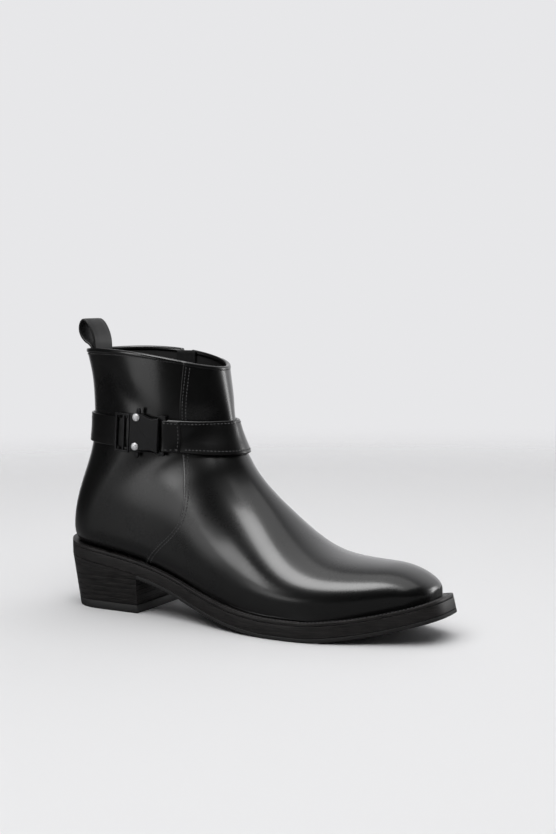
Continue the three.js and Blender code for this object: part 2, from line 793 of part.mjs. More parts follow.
function rivetHead(side) {
  const seat = plateBase + plateThick + clearance;
  const profile = [
    [0, seat],
    [rivetRadius, seat],
    [rivetRadius, seat + rivetRim],
    [rivetRadius * 0.72, seat + rivetDome * 0.8],
    [rivetRadius * 0.35, seat + rivetDome * 0.97],
    [0, seat + rivetDome],
  ];
  return roundPeg(rivetAlong, rivetRise + side * rivetUp, profile);
}

// A release lever, which shows as a nub beyond the plate's edge
function releaseLever(side) {
  const root = plateHalf + plateCrown + clearance;
  const half = leverWidth / 2;
  const outline = [
    [leverAlong - half, side * root],
    [leverAlong + half, side * root],
    [leverAlong + half, side * (root + leverReach * 0.6)],
    [leverAlong + half * 0.5, side * (root + leverReach)],
    [leverAlong - half * 0.5, side * (root + leverReach)],
    [leverAlong - half, side * (root + leverReach * 0.6)],
  ];
  return flatPiece(buckleFrame, outline, plateBase + leverLow, plateBase + plateThick - leverSunk);
}

// The pull loop: one strip bent over, with both ends inside the collar
function pullLoop() {
  const corner = { x: backSeam(collarBack), z: collarBack };
  const path = new THREE.SplineCurve(
    LOOP_PATH.map((r) => new THREE.Vector2(corner.x + r.forward * loopRise, corner.z + r.up * loopRise)),
  );
  const edge = (side) =>
    Array.from({ length: loopSteps + 1 }, (_, i) => {
      const at = path.getPoint(i / loopSteps);
      const along = path.getTangent(i / loopSteps);
      const off = (side * loopThick) / 2;
      return new THREE.Vector2(at.x - along.y * off, at.y + along.x * off);
    });
  const shape = new THREE.Shape([...edge(-1), ...edge(1).reverse()]);
  const geometry = new THREE.ExtrudeGeometry(shape, { depth: loopWidth, bevelEnabled: false });
  return solidOf(geometry.translate(0, 0, -loopWidth / 2).rotateX(Math.PI / 2));
}

// A strip laid along the zip's line on the medial side
function zipStrip(width, from, to, low, high) {
  const loops = Array.from({ length: zipRows + 1 }, (_, i) => {
    const z = lerp(from, to, i / zipRows);
    const row = (edges, lift) => edges.map((edge) => onFace(zipAt + (edge * width) / 2, z, 1, lift));
    return [...row([-1, 0, 1], low), ...row([1, 0, -1], high)];
  });
  return loft(loops);
}

const zipTop = lerp(collarFront, collarBack, zipRise);
const sliderMiddle = zipTop - sliderLength / 2 - sliderDrop;
const sliderFrame = touching(zipAt, sliderMiddle, 1, 0);
const sliderDeep = wall - clearance;

function pinRod(radius, half) {
  const rod = new THREE.CylinderGeometry(radius, radius, 2 * half, 16).rotateZ(Math.PI / 2);
  return solidOf(rod.translate(0, pinUp, pinOut).applyMatrix4(sliderFrame));
}

function sliderSolid() {
  const half = sliderWidth / 2;
  const end = sliderLength / 2;
  const outline = [
    [-half * 0.8, -end],
    [half * 0.8, -end],
    [half, -end * 0.2],
    [half, end * 0.75],
    [half * 0.6, end],
    [-half * 0.6, end],
    [-half, end * 0.75],
    [-half, -end * 0.2],
  ];
  const ear = (side) => {
    const middle = (side * (earInner + earOuter)) / 2;
    const thick = (earOuter - earInner) / 2;
    const shape = rectangle(middle - thick, pinUp - earReach, middle + thick, pinUp + earReach);
    return flatPiece(sliderFrame, shape, 0, pinOut + pinRadius + earRim);
  };
  const body = flatPiece(sliderFrame, outline, -sliderDeep, sliderProud);
  return body.add(ear(-1)).add(ear(1)).add(pinRod(pinRadius, (earInner + earOuter) / 2));
}

// The pull tab hangs from the slider's pin by an eye
function pullSolid() {
  const eyeHalf = earInner - clearance;
  const half = pullWidth / 2;
  const outline = [
    [-eyeHalf, pinUp],
    [-eyeHalf, pinUp - pullNeck],
    [-half, pinUp - pullNeck - pullShoulder],
    [-half, pinUp - pullLength + pullCorner],
    [pullCorner - half, pinUp - pullLength],
    [half - pullCorner, pinUp - pullLength],
    [half, pinUp - pullLength + pullCorner],
    [half, pinUp - pullNeck - pullShoulder],
    [eyeHalf, pinUp - pullNeck],
    [eyeHalf, pinUp],
  ];
  const tab = flatPiece(sliderFrame, outline, pinOut - pullThick / 2, pinOut + pullThick / 2);
  return tab.add(pinRod(eyeRadius, eyeHalf)).subtract(pinRod(pinRadius + clearance, earOuter));
}

function insoleSolid() {
  const inset = wall + insoleInset;
  const back = heelInset + inset;
  const front = footFront - inset - insoleThick;
  const loops = easedShares(insoleSteps).map((share) => {
    const x = lerp(back, front, share);
    const corner = (side, height) => {
      const half = featherHalf(x, side, inset) * footEnds(x - back, front - x, inset, 0);
      return new THREE.Vector3(x, side * half, soleTop(x) + clearance + height);
    };
    return [corner(-1, 0), corner(1, 0), corner(1, insoleThick), corner(-1, insoleThick)];
  });
  return loft(loops);
}

const gloss = (color, roughness) => new THREE.MeshStandardMaterial({ color, roughness, metalness: 0 });
const calf = gloss(0x131315, 0.22);
const stackedLeather = gloss(0x3a3836, 0.55);
const rubber = gloss(0x1c1c1d, 0.8);
const sockLeather = gloss(0x1a1a1b, 0.6);

const blackMetal = new THREE.MeshStandardMaterial({ color: 0x161617, roughness: 0.4, metalness: 0.7 });
const brightMetal = new THREE.MeshStandardMaterial({ color: 0xd9dadb, roughness: 0.2, metalness: 1 });
const zipTape = gloss(0x101011, 0.9);

const boot = new THREE.Group();

function addPiece(name, solid, material) {
  const made = solid.getMesh();
  const geometry = new THREE.BufferGeometry();
  geometry.setAttribute("position", new THREE.BufferAttribute(made.vertProperties, made.numProp));
  geometry.setIndex(new THREE.BufferAttribute(made.triVerts, 1));
  geometry.computeVertexNormals();
  const mesh = new THREE.Mesh(geometry, material);
  mesh.name = name;
  boot.add(mesh);
}

const midsoleLow = outsoleThick + clearance;
const weltLow = midsoleLow + midsoleThick + clearance;
addPiece("outsole", soleLayer(breastAt + clearance, 0, outsoleThick, 0), rubber);
addPiece("midsole", soleLayer(0, midsoleLow, midsoleLow + midsoleThick, 0), stackedLeather);
addPiece("welt", soleLayer(0, weltLow, weltLow + weltThick, 0), stackedLeather);
addPiece("heel_stack", heelStack(), stackedLeather);
addPiece("heel_top_piece", loft([heelLoop(() => 0, 0), heelLoop(() => topPieceThick, 0)]), rubber);
addPiece("insole", insoleSolid(), sockLeather);
addPiece("upper", upperSolid(), calf);

const onVamp = vampStep + clearance;
const onQuarter = 2 * clearance;
const zipEdge = (zipSlot / 2) * strapZipShare;
const foldHalf = strapWidth / 2 - foldInset;
const frontStart = strapTurn(buckleAt + foldEnd + strapBehindBar, -1);
const frontStop = strapTurn(zipAt + zipEdge, 1);
const front = strapLength(frontStart, frontStop, strapWidth, onVamp, onVamp + strapThick);
addPiece("strap_front", front.add(foldSleeve(foldHalf)), calf);
const rearStart = strapTurn(zipAt - zipEdge, 1) - 2;
const rearStop = strapTurn(buckleAt - plateEnd - strapBehindPlate, -1);
const rear = strapLength(rearStart, rearStop, rearStrapWidth, onQuarter, onQuarter + rearStrapThick);
addPiece("strap_rear", rear, calf);
addPiece("buckle_plate", buckleBody(), blackMetal);
addPiece("buckle_ladder", buckleLadder(), blackMetal);
for (const [name, side] of [["upper", 1], ["lower", -1]]) {
  addPiece("rivet_" + name, rivetHead(side), brightMetal);
  addPiece("buckle_lever_" + name, releaseLever(side), blackMetal);
}
addPiece("pull_loop", pullLoop(), calf);

const tapeFace = -wall - tapeGap;
const zipBack = zipStrip(tapeWidth, zipBottom - tapeTail, zipTop, tapeFace - tapeThick, tapeFace);
addPiece("zip_tape", zipBack, zipTape);
const chainTop = sliderMiddle - sliderLength / 2 - clearance;
const chain = zipStrip(chainWidth, zipBottom + chainTail, chainTop, tapeFace + clearance, -clearance);
addPiece("zip_chain", chain, blackMetal);
addPiece("zip_slider", sliderSolid(), blackMetal);
addPiece("zip_pull", pullSolid(), blackMetal);

// The origin is the middle of the footprint, on the floor
const bounds = new THREE.Box3().setFromObject(boot);
const middle = bounds.getCenter(new THREE.Vector3());
boot.position.set(-middle.x, -middle.y, -bounds.min.z);

export default boot;
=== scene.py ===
import math
import bpy
import bmesh
import numpy as np
from mathutils import Matrix, Vector


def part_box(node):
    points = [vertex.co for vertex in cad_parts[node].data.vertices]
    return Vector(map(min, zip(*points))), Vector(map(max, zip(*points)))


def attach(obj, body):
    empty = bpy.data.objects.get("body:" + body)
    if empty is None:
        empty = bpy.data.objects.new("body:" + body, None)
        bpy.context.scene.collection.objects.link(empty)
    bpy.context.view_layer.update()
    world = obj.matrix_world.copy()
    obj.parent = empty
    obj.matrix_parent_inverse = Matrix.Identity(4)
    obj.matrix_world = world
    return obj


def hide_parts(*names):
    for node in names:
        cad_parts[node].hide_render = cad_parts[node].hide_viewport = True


# A black right ankle boot with a strap buckle. Sizes are in millimetres, x runs from heel to toe,
# y from the lateral to the medial side and z up from the floor.
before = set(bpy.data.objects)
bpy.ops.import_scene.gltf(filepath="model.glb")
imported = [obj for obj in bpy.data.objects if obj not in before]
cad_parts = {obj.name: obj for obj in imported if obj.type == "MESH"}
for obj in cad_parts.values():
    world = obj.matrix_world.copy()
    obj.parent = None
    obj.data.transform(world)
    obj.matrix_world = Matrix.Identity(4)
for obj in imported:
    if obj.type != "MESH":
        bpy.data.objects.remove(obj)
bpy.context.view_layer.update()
mm = 0.001
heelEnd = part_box("midsole")[0][0] / mm
loopLow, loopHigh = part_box("pull_loop")
origin = np.array([heelEnd, (loopLow[1] + loopHigh[1]) / 2 / mm, 0])  # the boot's own zero point in the frame

camera = {
    "azimuth": 29.07, "elevation": 4.98, "roll": -0.53, "distance": 961.3, "target": (170.43, 0, 142.33),
    "focal": 1385.5, "frameHeight": 834, "sensor": 36, "clip": (0.02, 60),
}


def inFrame(points):
    return (np.asarray(points, float) + origin) * mm


def addObject(name, data):
    made = bpy.data.objects.new(name, data)
    bpy.context.scene.collection.objects.link(made)
    return made


def addCamera():
    a, e, r = (math.radians(camera[k]) for k in ("azimuth", "elevation", "roll"))
    back = Vector((math.sin(a) * math.cos(e), -math.cos(a) * math.cos(e), math.sin(e)))
    right = Vector((math.cos(a), math.sin(a), 0))
    up = back.cross(right)
    side = right * math.cos(r) + up * math.sin(r)
    top = up * math.cos(r) - right * math.sin(r)
    data = bpy.data.cameras.new("camera")
    data.sensor_width = camera["sensor"]
    data.lens = camera["focal"] * camera["sensor"] / camera["frameHeight"]
    data.clip_start, data.clip_end = camera["clip"]
    eye = addObject("camera", data)
    place = Vector(inFrame(camera["target"])) + back * camera["distance"] * mm
    eye.matrix_world = Matrix.Translation(place) @ Matrix((side, top, back)).transposed().to_4x4()
    bpy.context.scene.camera = eye


addCamera()
print("camera placed")

# Node trees: a wrapped socket with the usual operators


class Net:
    def __init__(self, tree):
        self.tree = tree
        tree.nodes.clear()

    def node(self, kind, settings=None, out=0, **inputs):
        made = self.tree.nodes.new(kind)
        for name, value in (settings or {}).items():
            setattr(made, name, value)
        for name, value in inputs.items():
            byIndex = name[0] == "i" and name[1:].isdigit()
            slot = made.inputs[int(name[1:]) if byIndex else name.replace("_", " ")]
            if isinstance(value, Sock):
                self.tree.links.new(value.socket, slot)
            elif value is not None:
                slot.default_value = value
        return Sock(self, made.outputs[out])

    def end(self, kind, result):
        self.tree.links.new(result.socket, self.tree.nodes.new(kind).inputs[0])

    def maths(self, operation, *values):
        inputs = {f"i{k}": v for k, v in enumerate(values)}
        return self.node("ShaderNodeMath", {"operation": operation}, **inputs)

    def blend(self, share, low, high):
        return self.node("ShaderNodeMix", {"data_type": "RGBA"}, out=2, i0=share, i6=low, i7=high)

    def noise(self, vector, size, detail=2.0, rough=0.5):
        sizes = {"Scale": 1 / (size * mm), "Detail": detail, "Roughness": rough}
        return self.node("ShaderNodeTexNoise", Vector=vector, **sizes)

    def stretch(self, vector, scale):
        return self.node("ShaderNodeVectorMath", {"operation": "MULTIPLY"}, i0=vector, i1=scale)

    def place(self):
        return self.node("ShaderNodeTexCoord", out=3)

    def bump(self, height, depth, strength=1.0, onto=None):
        sizes = {"Strength": strength, "Distance": depth * mm}
        return self.node("ShaderNodeBump", Height=height, Normal=onto, **sizes)


class Sock:
    def __init__(self, net, socket):
        self.net, self.socket = net, socket

    def __add__(self, other):
        return self.net.maths("ADD", self, other)

    def __radd__(self, other):
        return self.net.maths("ADD", other, self)

    def __sub__(self, other):
        return self.net.maths("SUBTRACT", self, other)

    def __rsub__(self, other):
        return self.net.maths("SUBTRACT", other, self)

    def __mul__(self, other):
        return self.net.maths("MULTIPLY", self, other)

    def __rmul__(self, other):
        return self.net.maths("MULTIPLY", other, self)

    def __pow__(self, other):
        return self.net.maths("POWER", self, other)


def material(name, **fixed):
    made = bpy.data.materials.new(name)
    made.use_nodes = True
    net = Net(made.node_tree)
    shader = net.node("ShaderNodeBsdfPrincipled", **fixed)
    net.end("ShaderNodeOutputMaterial", shader)

    def feed(**links):
        for name, value in links.items():
            net.tree.links.new(value.socket, shader.socket.node.inputs[name.replace("_", " ")])

    return made, net, feed


calf = {  # sizes in millimetres, the pore's size as a share of the grain's
    "shade": 0.002, "tint": (1, 1, 1.04), "spread": (0.75, 1.35), "rough": 0.27, "roughSpread": 0.08,
    "fineRough": 0.04, "cloud": 28, "grain": 0.45, "grainDepth": 0.012, "pore": 1.6, "swell": 16,
    "swellDepth": 0.05, "coat": 0.3, "coatRough": 0.17,
}


def calfLeather(name, **changes):
    sizes = dict(calf, **changes)
    made, net, feed = material(
        name, Specular_IOR_Level=0.5, Coat_Roughness=sizes["coatRough"], Coat_Weight=sizes["coat"], IOR=1.5)
    at = net.place()
    cloud = net.noise(at, sizes["cloud"], 3)
    fine = net.noise(at, sizes["grain"], 3, 0.6)
    poreScale = 1 / (sizes["pore"] * sizes["grain"] * mm)
    pores = net.node("ShaderNodeTexVoronoi", {"feature": "DISTANCE_TO_EDGE"}, Vector=at, Scale=poreScale)
    swell = net.noise(at, sizes["swell"], 1)
    low, high = (tuple(sizes["shade"] * k * t for t in sizes["tint"]) + (1,) for k in sizes["spread"])
    feed(Base_Color=net.blend(cloud, low, high))
    feed(Roughness=cloud * sizes["roughSpread"] + fine * sizes["fineRough"] + (sizes["rough"] - 0.05))
    soft = net.bump(swell, sizes["swellDepth"])
    pored = net.bump(pores ** 0.5, sizes["grainDepth"], 0.5, soft)
    feed(Normal=net.bump(fine, sizes["grainDepth"], 0.6, pored))
    return made


edgeStain = {
    "dark": (0.007, 0.0066, 0.0066), "pale": (0.046, 0.041, 0.04), "line": 0.55, "depth": 0.04, "cloud": 14,
    "across": 0.05,
}


def soleEdge(name, **changes):
    sizes = dict(edgeStain, **changes)
    made, net, feed = material(name, Specular_IOR_Level=0.3)
    at = net.place()
    streak = net.noise(net.stretch(at, (sizes["across"], sizes["across"], 1)), sizes["line"], 3, 0.65)
    cloud = net.noise(at, sizes["cloud"], 3)
    share = (streak - 0.32) * 1.9 * (cloud * 0.9 + 0.35)
    feed(Base_Color=net.blend(share, (*sizes["dark"], 1), (*sizes["pale"], 1)))
    feed(Roughness=streak * 0.22 + 0.36)
    feed(Normal=net.bump(streak, sizes["depth"], 0.9))
    return made


def plainFinish(name, low, high, rough, metal=0.0, grain=0.5, depth=0.02, specular=0.5):
    made, net, feed = material(name, Specular_IOR_Level=specular, Metallic=metal)
    at = net.place()
    fine = net.noise(at, grain, 3, 0.6)
    cloud = net.noise(at, 9, 2)
    feed(Base_Color=net.blend(cloud * 0.6 + fine * 0.4, (*low, 1), (*high, 1)))
    feed(Roughness=cloud * 0.12 + fine * 0.08 + (rough - 0.1))
    feed(Normal=net.bump(fine, depth, 0.7))
    return made


tapeWeave = {"Z": 420.0, "X": 520.0, "waver": 0.4, "depth": 0.12}


def wovenTape(name):
    made, net, feed = material(name, Specular_IOR_Level=0.3)
    at = net.place()
    ribs, across = (
        net.node("ShaderNodeTexWave", {"bands_direction": axis, "wave_profile": "SIN"}, Vector=at,
                 Scale=tapeWeave[axis], Distortion=tapeWeave["waver"])
        for axis in ("Z", "X"))
    weave = ribs * across
    feed(Base_Color=net.blend(weave, (0.004, 0.004, 0.0042, 1), (0.02, 0.02, 0.021, 1)))
    feed(Roughness=weave * 0.1 + 0.78)
    feed(Normal=net.bump(weave, tapeWeave["depth"], 0.8))
    return made


leather = calfLeather("polishedCalf")
loopLeather = calfLeather("loopCalf", rough=0.5, coat=0.0, coatRough=0.3, shade=0.004, swellDepth=0.02)
strapLeather = calfLeather("strapCalf", rough=0.3, coat=0.2, coatRough=0.2, swellDepth=0.03)
lining = plainFinish(
    "liningLeather", (0.006, 0.006, 0.0062), (0.014, 0.0135, 0.0135), 0.62, grain=0.9, depth=0.05,
    specular=0.35)
edgeLeather = soleEdge("stainedSoleEdge")
stackLeather = soleEdge("stackedHeel", line=0.8, depth=0.09, across=0.06)
rubber = plainFinish(
    "soleRubber", (0.009, 0.009, 0.0092), (0.017, 0.0168, 0.0165), 0.7, grain=0.6, depth=0.06)
blackMetal = plainFinish(
    "blackMetal", (0.014, 0.014, 0.015), (0.024, 0.024, 0.025), 0.42, metal=0.55, grain=0.3, depth=0.008)
brightMetal = plainFinish(
    "brightMetal", (0.8, 0.8, 0.81), (0.9, 0.9, 0.91), 0.36, metal=0.35, grain=0.3, depth=0.004)
# thread: near-black thread lightened to dark grey, partly its own dark colour and partly painted sheen so the
# stitches show against the leather
thread = plainFinish("thread", (0.028, 0.028, 0.0287), (0.095, 0.095, 0.0972), 0.6, grain=0.15, depth=0.03)
tape = wovenTape("zipTape")
print("finishes made")

# The form of the last, as the frame has it
last = {
    "length": 301, "ball": 104, "waist": 66, "heel": 66, "toe": 38, "heelRise": 36.5, "toeSpring": 17,
    "outsole": 2.8, "midsole": 7.6, "welt": 2, "clearance": 0.3, "heelRound": 33, "toeRound": 15,
    "toeLean": 3.3, "endFullness": 2.5, "toeSquareness": 3.2, "heelInset": 3.5, "sideInset": 6,
    "toeInset": 11, "collarBack": 188, "collarFront": 176, "collarCrown": 5.2, "collarFrontX": 127.3,
    "toeCrest": 43, "shaft": 69.5, "shaftSetIn": 15.8, "shaftRound": 56, "slimFrom": 0.05, "slimTo": 0.75,
    "tuckHeight": 16, "toeWall": 0.35, "toeSlope": 34, "crestRound": 2.2, "heelSwing": 7, "wall": 2,
}
clearance = last["clearance"]
length = last["length"]
band = last["outsole"] + last["midsole"] + last["welt"] + 2 * clearance

plan = [  # share of the length, named width, lateral and medial half widths as shares of it
    (0, "heel", 0.48, 0.48), (0.1, "heel", 0.501, 0.492), (0.22, "heel", 0.512, 0.473),
    (0.34, "waist", 0.552, 0.449), (0.45, "ball", 0.425, 0.315), (0.55, "ball", 0.5, 0.385),
    (0.64, "ball", 0.53, 0.425), (0.71, "ball", 0.525, 0.452), (0.79, "ball", 0.47, 0.422),
    (0.88, "ball", 0.36, 0.3), (1, "toe", 0.602, 0.383),
]
undersideRows = [  # share of the length, share of the heel's rise, share of the toe's spring
    (0, 1, 0), (0.12, 0.85, 0), (0.235, 0.7, 0), (0.33, 0.507, 0), (0.42, 0.274, 0), (0.5, 0.115, 0),
    (0.58, 0.025, 0), (0.68, 0, -0.03), (0.78, 0, 0.1), (0.88, 0, 0.41), (1, 0, 1),
]
sections = [  # keel, crest's way back, crest's rise, height share of the fullest line, squareness
    (0, 0, 0, 0.3, 2.4), (0.06, 0.1, 0.022, 0.3, 2.4), (0.14, 0.246, 0.033, 0.3, 2.3),
    (0.23, 0.4, 0.045, 0.3, 2.1), (0.32, 0.539, 0.1, 0.27, 1.9), (0.42, 0.683, 0.236, 0.24, 1.78),
    (0.53, 0.807, 0.377, 0.24, 1.75), (0.66, 0.896, 0.513, 0.3, 2.05), (0.8, 0.939, 0.62, 0.35, 2.2),
    (1, 0.962, 0.715, 0.4, 2.2), (1.3, 0.975, 0.814, 0.44, 2.2), (1.65, 0.987, 0.907, 0.47, 2.2),
    (2, 1, 1, 0.5, 2.2),
]
widths = [  # keel, named width, lateral and medial half widths as shares of it
    (0, "toe", 0.58, 0.37), (0.06, "ball", 0.288, 0.221), (0.14, "ball", 0.38, 0.325),
    (0.23, "ball", 0.447, 0.4), (0.32, "ball", 0.476, 0.416), (0.42, "ball", 0.457, 0.38),
    (0.53, "ball", 0.409, 0.337), (0.66, "ball", 0.361, 0.317), (0.8, "shaft", 0.496, 0.468),
    (1, "shaft", 0.482, 0.468), (1.3, "shaft", 0.482, 0.475), (1.65, "shaft", 0.489, 0.482),
    (2, "shaft", 0.504, 0.496),
]
backSeamRows = [0, 0.063, 0.324, 0.734, 0.983, 0.996, 0.918, 0.627]  # forward shares, evenly spaced upwards
sideSeamRows = [  # share of the length, share of the collar's height
    (0.372, 1.06), (0.366, 0.97), (0.36, 0.88), (0.354, 0.76), (0.355, 0.65), (0.37, 0.53),
    (0.375, 0.45), (0.368, 0.385), (0.345, 0.335), (0.31, 0.285), (0.265, 0.215), (0.22, 0.14),
]


def splineOf(at, values):
    at, values = np.asarray(at, float), np.asarray(values, float)
    count, gap = len(at), np.diff(at)
    system, right = np.eye(count), np.zeros(count)
    for i in range(1, count - 1):
        system[i, i - 1:i + 2] = gap[i - 1], 2 * (gap[i - 1] + gap[i]), gap[i]
        right[i] = 6 * ((values[i + 1] - values[i]) / gap[i] - (values[i] - values[i - 1]) / gap[i - 1])
    bend = np.linalg.solve(system, right)

    def curve(x):
        x = np.asarray(x, float)
        i = np.clip(np.searchsorted(at, x, side="right") - 1, 0, count - 2)
        a, b = (at[i + 1] - x) / gap[i], (x - at[i]) / gap[i]
        cubic = (a ** 3 - a) * bend[i] + (b ** 3 - b) * bend[i + 1]
        return a * values[i] + b * values[i + 1] + cubic * gap[i] ** 2 / 6

    return curve


def columnOf(rows, k):
    return splineOf([r[0] for r in rows], [r[k] for r in rows])


def widthOf(rows, k):
    return splineOf([r[0] for r in rows], [last[r[1]] * r[k] for r in rows])


def mix(a, b, share):
    return a + (b - a) * share


def ease(x, low, high):
    t = np.clip((x - low) / (high - low), 0, 1)
    return t * t * (3 - 2 * t)


def roundEnd(distance, reach, fullness, squareness):
    return (1 - np.clip(1 - distance / reach, 0, 1) ** fullness) ** (1 / squareness)


planLateral, planMedial = widthOf(plan, 2), widthOf(plan, 3)
undersideHeights = [r[1] * last["heelRise"] + r[2] * last["toeSpring"] for r in undersideRows]
undersideLine = splineOf([r[0] for r in undersideRows], undersideHeights)
crestBack, crestRise, widestAt, squareAt = (columnOf(sections, k) for k in (1, 2, 3, 4))
lateralAt, medialAt = widthOf(widths, 2), widthOf(widths, 3)
backForward = splineOf(np.linspace(0, 1, len(backSeamRows)), backSeamRows)


def planHalf(x, side):
    return np.where(side < 0, planLateral(x / length), planMedial(x / length))


def underside(x):
    return np.maximum(0, undersideLine(np.clip(x, 0, length) / length))


def soleTop(x):
    return underside(x) + band


footFront = length - last["toeInset"]
seatBack = float(soleTop(last["heelInset"])) + clearance


def shaftShare(z):
    return np.clip((z - seatBack) / (last["collarBack"] - seatBack), 0, 1)


def backSeam(z):
    return last["heelInset"] + last["shaftSetIn"] * backForward(shaftShare(z))


def lowEnd(keel):
    x = mix(footFront, last["heelInset"], min(keel, 1))
    z = mix(seatBack, last["collarBack"], keel - 1)
    if keel < 1:
        return x, float(soleTop(x)) + clearance
    if keel > 1:
        return float(backSeam(z)), z
    return x - last["heelSwing"], z - last["heelSwing"]


lowEnds = [lowEnd(r[0]) for r in sections]
lowX = splineOf([r[0] for r in sections], [p[0] for p in lowEnds])
lowZ = splineOf([r[0] for r in sections], [p[1] for p in lowEnds])


def crest(keel):
    toe = roundEnd(footFront - lowX(keel), last["toeSlope"], last["crestRound"], 2)
    x = mix(footFront, last["collarFrontX"], crestBack(keel))
    z = mix(last["toeCrest"], last["collarFront"], crestRise(keel))
    return x, mix(lowZ(keel), z, mix(last["toeWall"], 1, toe))


def rootBetween(quantity, low, high, steps=36):
    for _ in range(steps):
        middle = (low + high) / 2
        below = quantity(middle) < 0
        low, high = np.where(below, middle, low), np.where(below, high, middle)
    return (low + high) / 2


def startOf(keel):
    lx, lz = lowX(keel), lowZ(keel)
    hx, hz = crest(keel)

    def depth(share):
        x, z = mix(lx, hx, share), mix(lz, hz, share)
        return np.minimum(z - soleTop(x) - clearance, x - backSeam(z))

    return rootBetween(depth, np.full_like(keel, -0.5), np.full_like(keel, 0.5))


keelTable = np.linspace(0, 2.1, 4201)
startTable = startOf(keelTable)
cornerKeel = float(keelTable[np.argmax((lowX(keelTable) < last["heelInset"]) & (keelTable > 0.8))])


def footEnds(fromBack, fromFront, inset, up):
    full = last["endFullness"]
    slim = ease(up, last["slimFrom"], last["slimTo"])
    reach = mix(last["heelRound"] - last["heelInset"], last["shaftRound"], slim) - inset
    back = roundEnd(fromBack, reach, mix(full, 2, slim), 2)
    return back * roundEnd(fromFront, last["toeRound"] - clearance - inset, full, last["toeSquareness"])


def featherHalf(x, side, inset):
    return planHalf(x, side) - last["sideInset"] - inset


def crownOf(keel, share):
    return last["collarCrown"] * 4 * share * (1 - share) * np.maximum(0, keel - 1) ** 3


def facePoint(keel, turn):
    keel, turn = np.broadcast_arrays(np.asarray(keel, float), np.mod(np.asarray(turn, float), 2))
    lx, lz = lowX(keel), lowZ(keel)
    hx, hz = crest(keel)
    start = np.interp(keel, keelTable, startTable)
    share = mix(start, 1, (1 - np.cos(np.pi * turn)) / 2)
    x = mix(lx, hx, share)
    z = mix(lz, hz, share) + crownOf(keel, share)
    side = np.where(turn < 1, -1.0, 1.0)
    widest = widestAt(keel)
    over = np.maximum(0, (share - widest) / (1 - widest))
    rounding = np.sqrt(np.maximum(0, 1 - over ** squareAt(keel)))
    full = np.where(turn < 1, lateralAt(keel), medialAt(keel)) * rounding
    rise = np.maximum(0, z - soleTop(x) - clearance)
    tuck = np.maximum(0, 1 - rise / last["tuckHeight"]) ** 3
    ends = footEnds(x - backSeam(z), footFront - x, 0, shaftShare(z))
    half = ends * mix(full, featherHalf(x, side, 0), tuck)
    return np.stack([x, np.where(turn == 1, 0, side * half), z], -1)


def faceNormal(keel, turn):
    keel, turn = np.broadcast_arrays(np.asarray(keel, float), np.asarray(turn, float))
    upStep = np.minimum(1e-3, np.maximum(keel / 2, 1e-5))
    open_ = keel < cornerKeel  # below the heel's corner the two feather edges are apart
    before = np.where(open_, np.maximum(turn - 1e-3, 0), turn - 1e-3)
    after = np.where(open_, np.minimum(turn + 1e-3, 2 - 1e-9), turn + 1e-3)
    up = facePoint(keel + upStep, turn) - facePoint(np.maximum(keel - upStep, 0), turn)
    round_ = facePoint(keel, after) - facePoint(keel, before)
    out = np.cross(round_, up)
    out[..., 1] = np.where(keel < 1e-6, 0, out[..., 1])
    return out / np.linalg.norm(out, axis=-1, keepdims=True)


# Creases, placed one by one: middle in side view, direction, length, width, depth and side, 0 for both
creases = [
    {"at": (66, 158), "lean": -0.75, "long": 26, "wide": 7, "deep": 0.7, "side": -1},
    {"at": (122, 118), "lean": 0.35, "long": 24, "wide": 6, "deep": 0.45, "side": 0},
    {"at": (134, 108), "lean": 0.45, "long": 22, "wide": 6, "deep": -0.35, "side": 0},
    {"at": (40, 96), "lean": 0.2, "long": 26, "wide": 9, "deep": 0.5, "side": 1},
    {"at": (62, 108), "lean": -0.3, "long": 24, "wide": 8, "deep": 0.4, "side": 1},
]


def creaseDepth(points):
    depth = np.zeros(points.shape[:-1])
    for fold in creases:
        dx, dz = points[..., 0] - fold["at"][0], points[..., 2] - fold["at"][1]
        c, s = math.cos(fold["lean"]), math.sin(fold["lean"])
        along, across = dx * c + dz * s, dz * c - dx * s
        shape = np.exp(-((along / fold["long"]) ** 2) - (across / fold["wide"]) ** 2)
        if fold["side"]:
            shape = shape * ease(points[..., 1] * fold["side"], 0, 12)
        depth += fold["deep"] * shape
    return depth


def lifted(keel, turn, lift):
    points = facePoint(keel, turn)
    rise = np.asarray(lift) - creaseDepth(points)
    return points + faceNormal(keel, turn) * np.broadcast_to(rise, points.shape[:-1])[..., None]


def placeOn(x, z, side):
    x, z = np.asarray(x, float), np.asarray(z, float)

    def over(keel):
        hx, hz = crest(keel)
        share = (x - lowX(keel)) / (hx - lowX(keel))
        return mix(lowZ(keel), hz, share) + crownOf(keel, share) - z

    keel = rootBetween(over, np.full_like(x, 0.6), np.full_like(x, 2.1))
    turn = turnAt(keel, x)
    return keel, np.where(side < 0, turn, 2 - turn)


def turnAt(keel, x):
    start = np.interp(keel, keelTable, startTable)
    share = (x - lowX(keel)) / (crest(keel)[0] - lowX(keel))
    way = np.clip((share - start) / (1 - start), 0, 1)
    return np.arccos(1 - 2 * way) / np.pi


def onFace(x, z, side, lift):
    keel, turn = placeOn(x, z, side)
    return lifted(keel, turn, lift)


# Meshes: a shell with its rim closed, a loft with caps, and a piece set in the frame


def gridFaces(rows, columns, keep=None):
    index = np.arange(rows * columns).reshape(rows, columns)
    quads = np.stack([index[:-1, :-1], index[:-1, 1:], index[1:, 1:], index[1:, :-1]], -1)
    return quads.reshape(-1, 4) if keep is None else quads[keep]


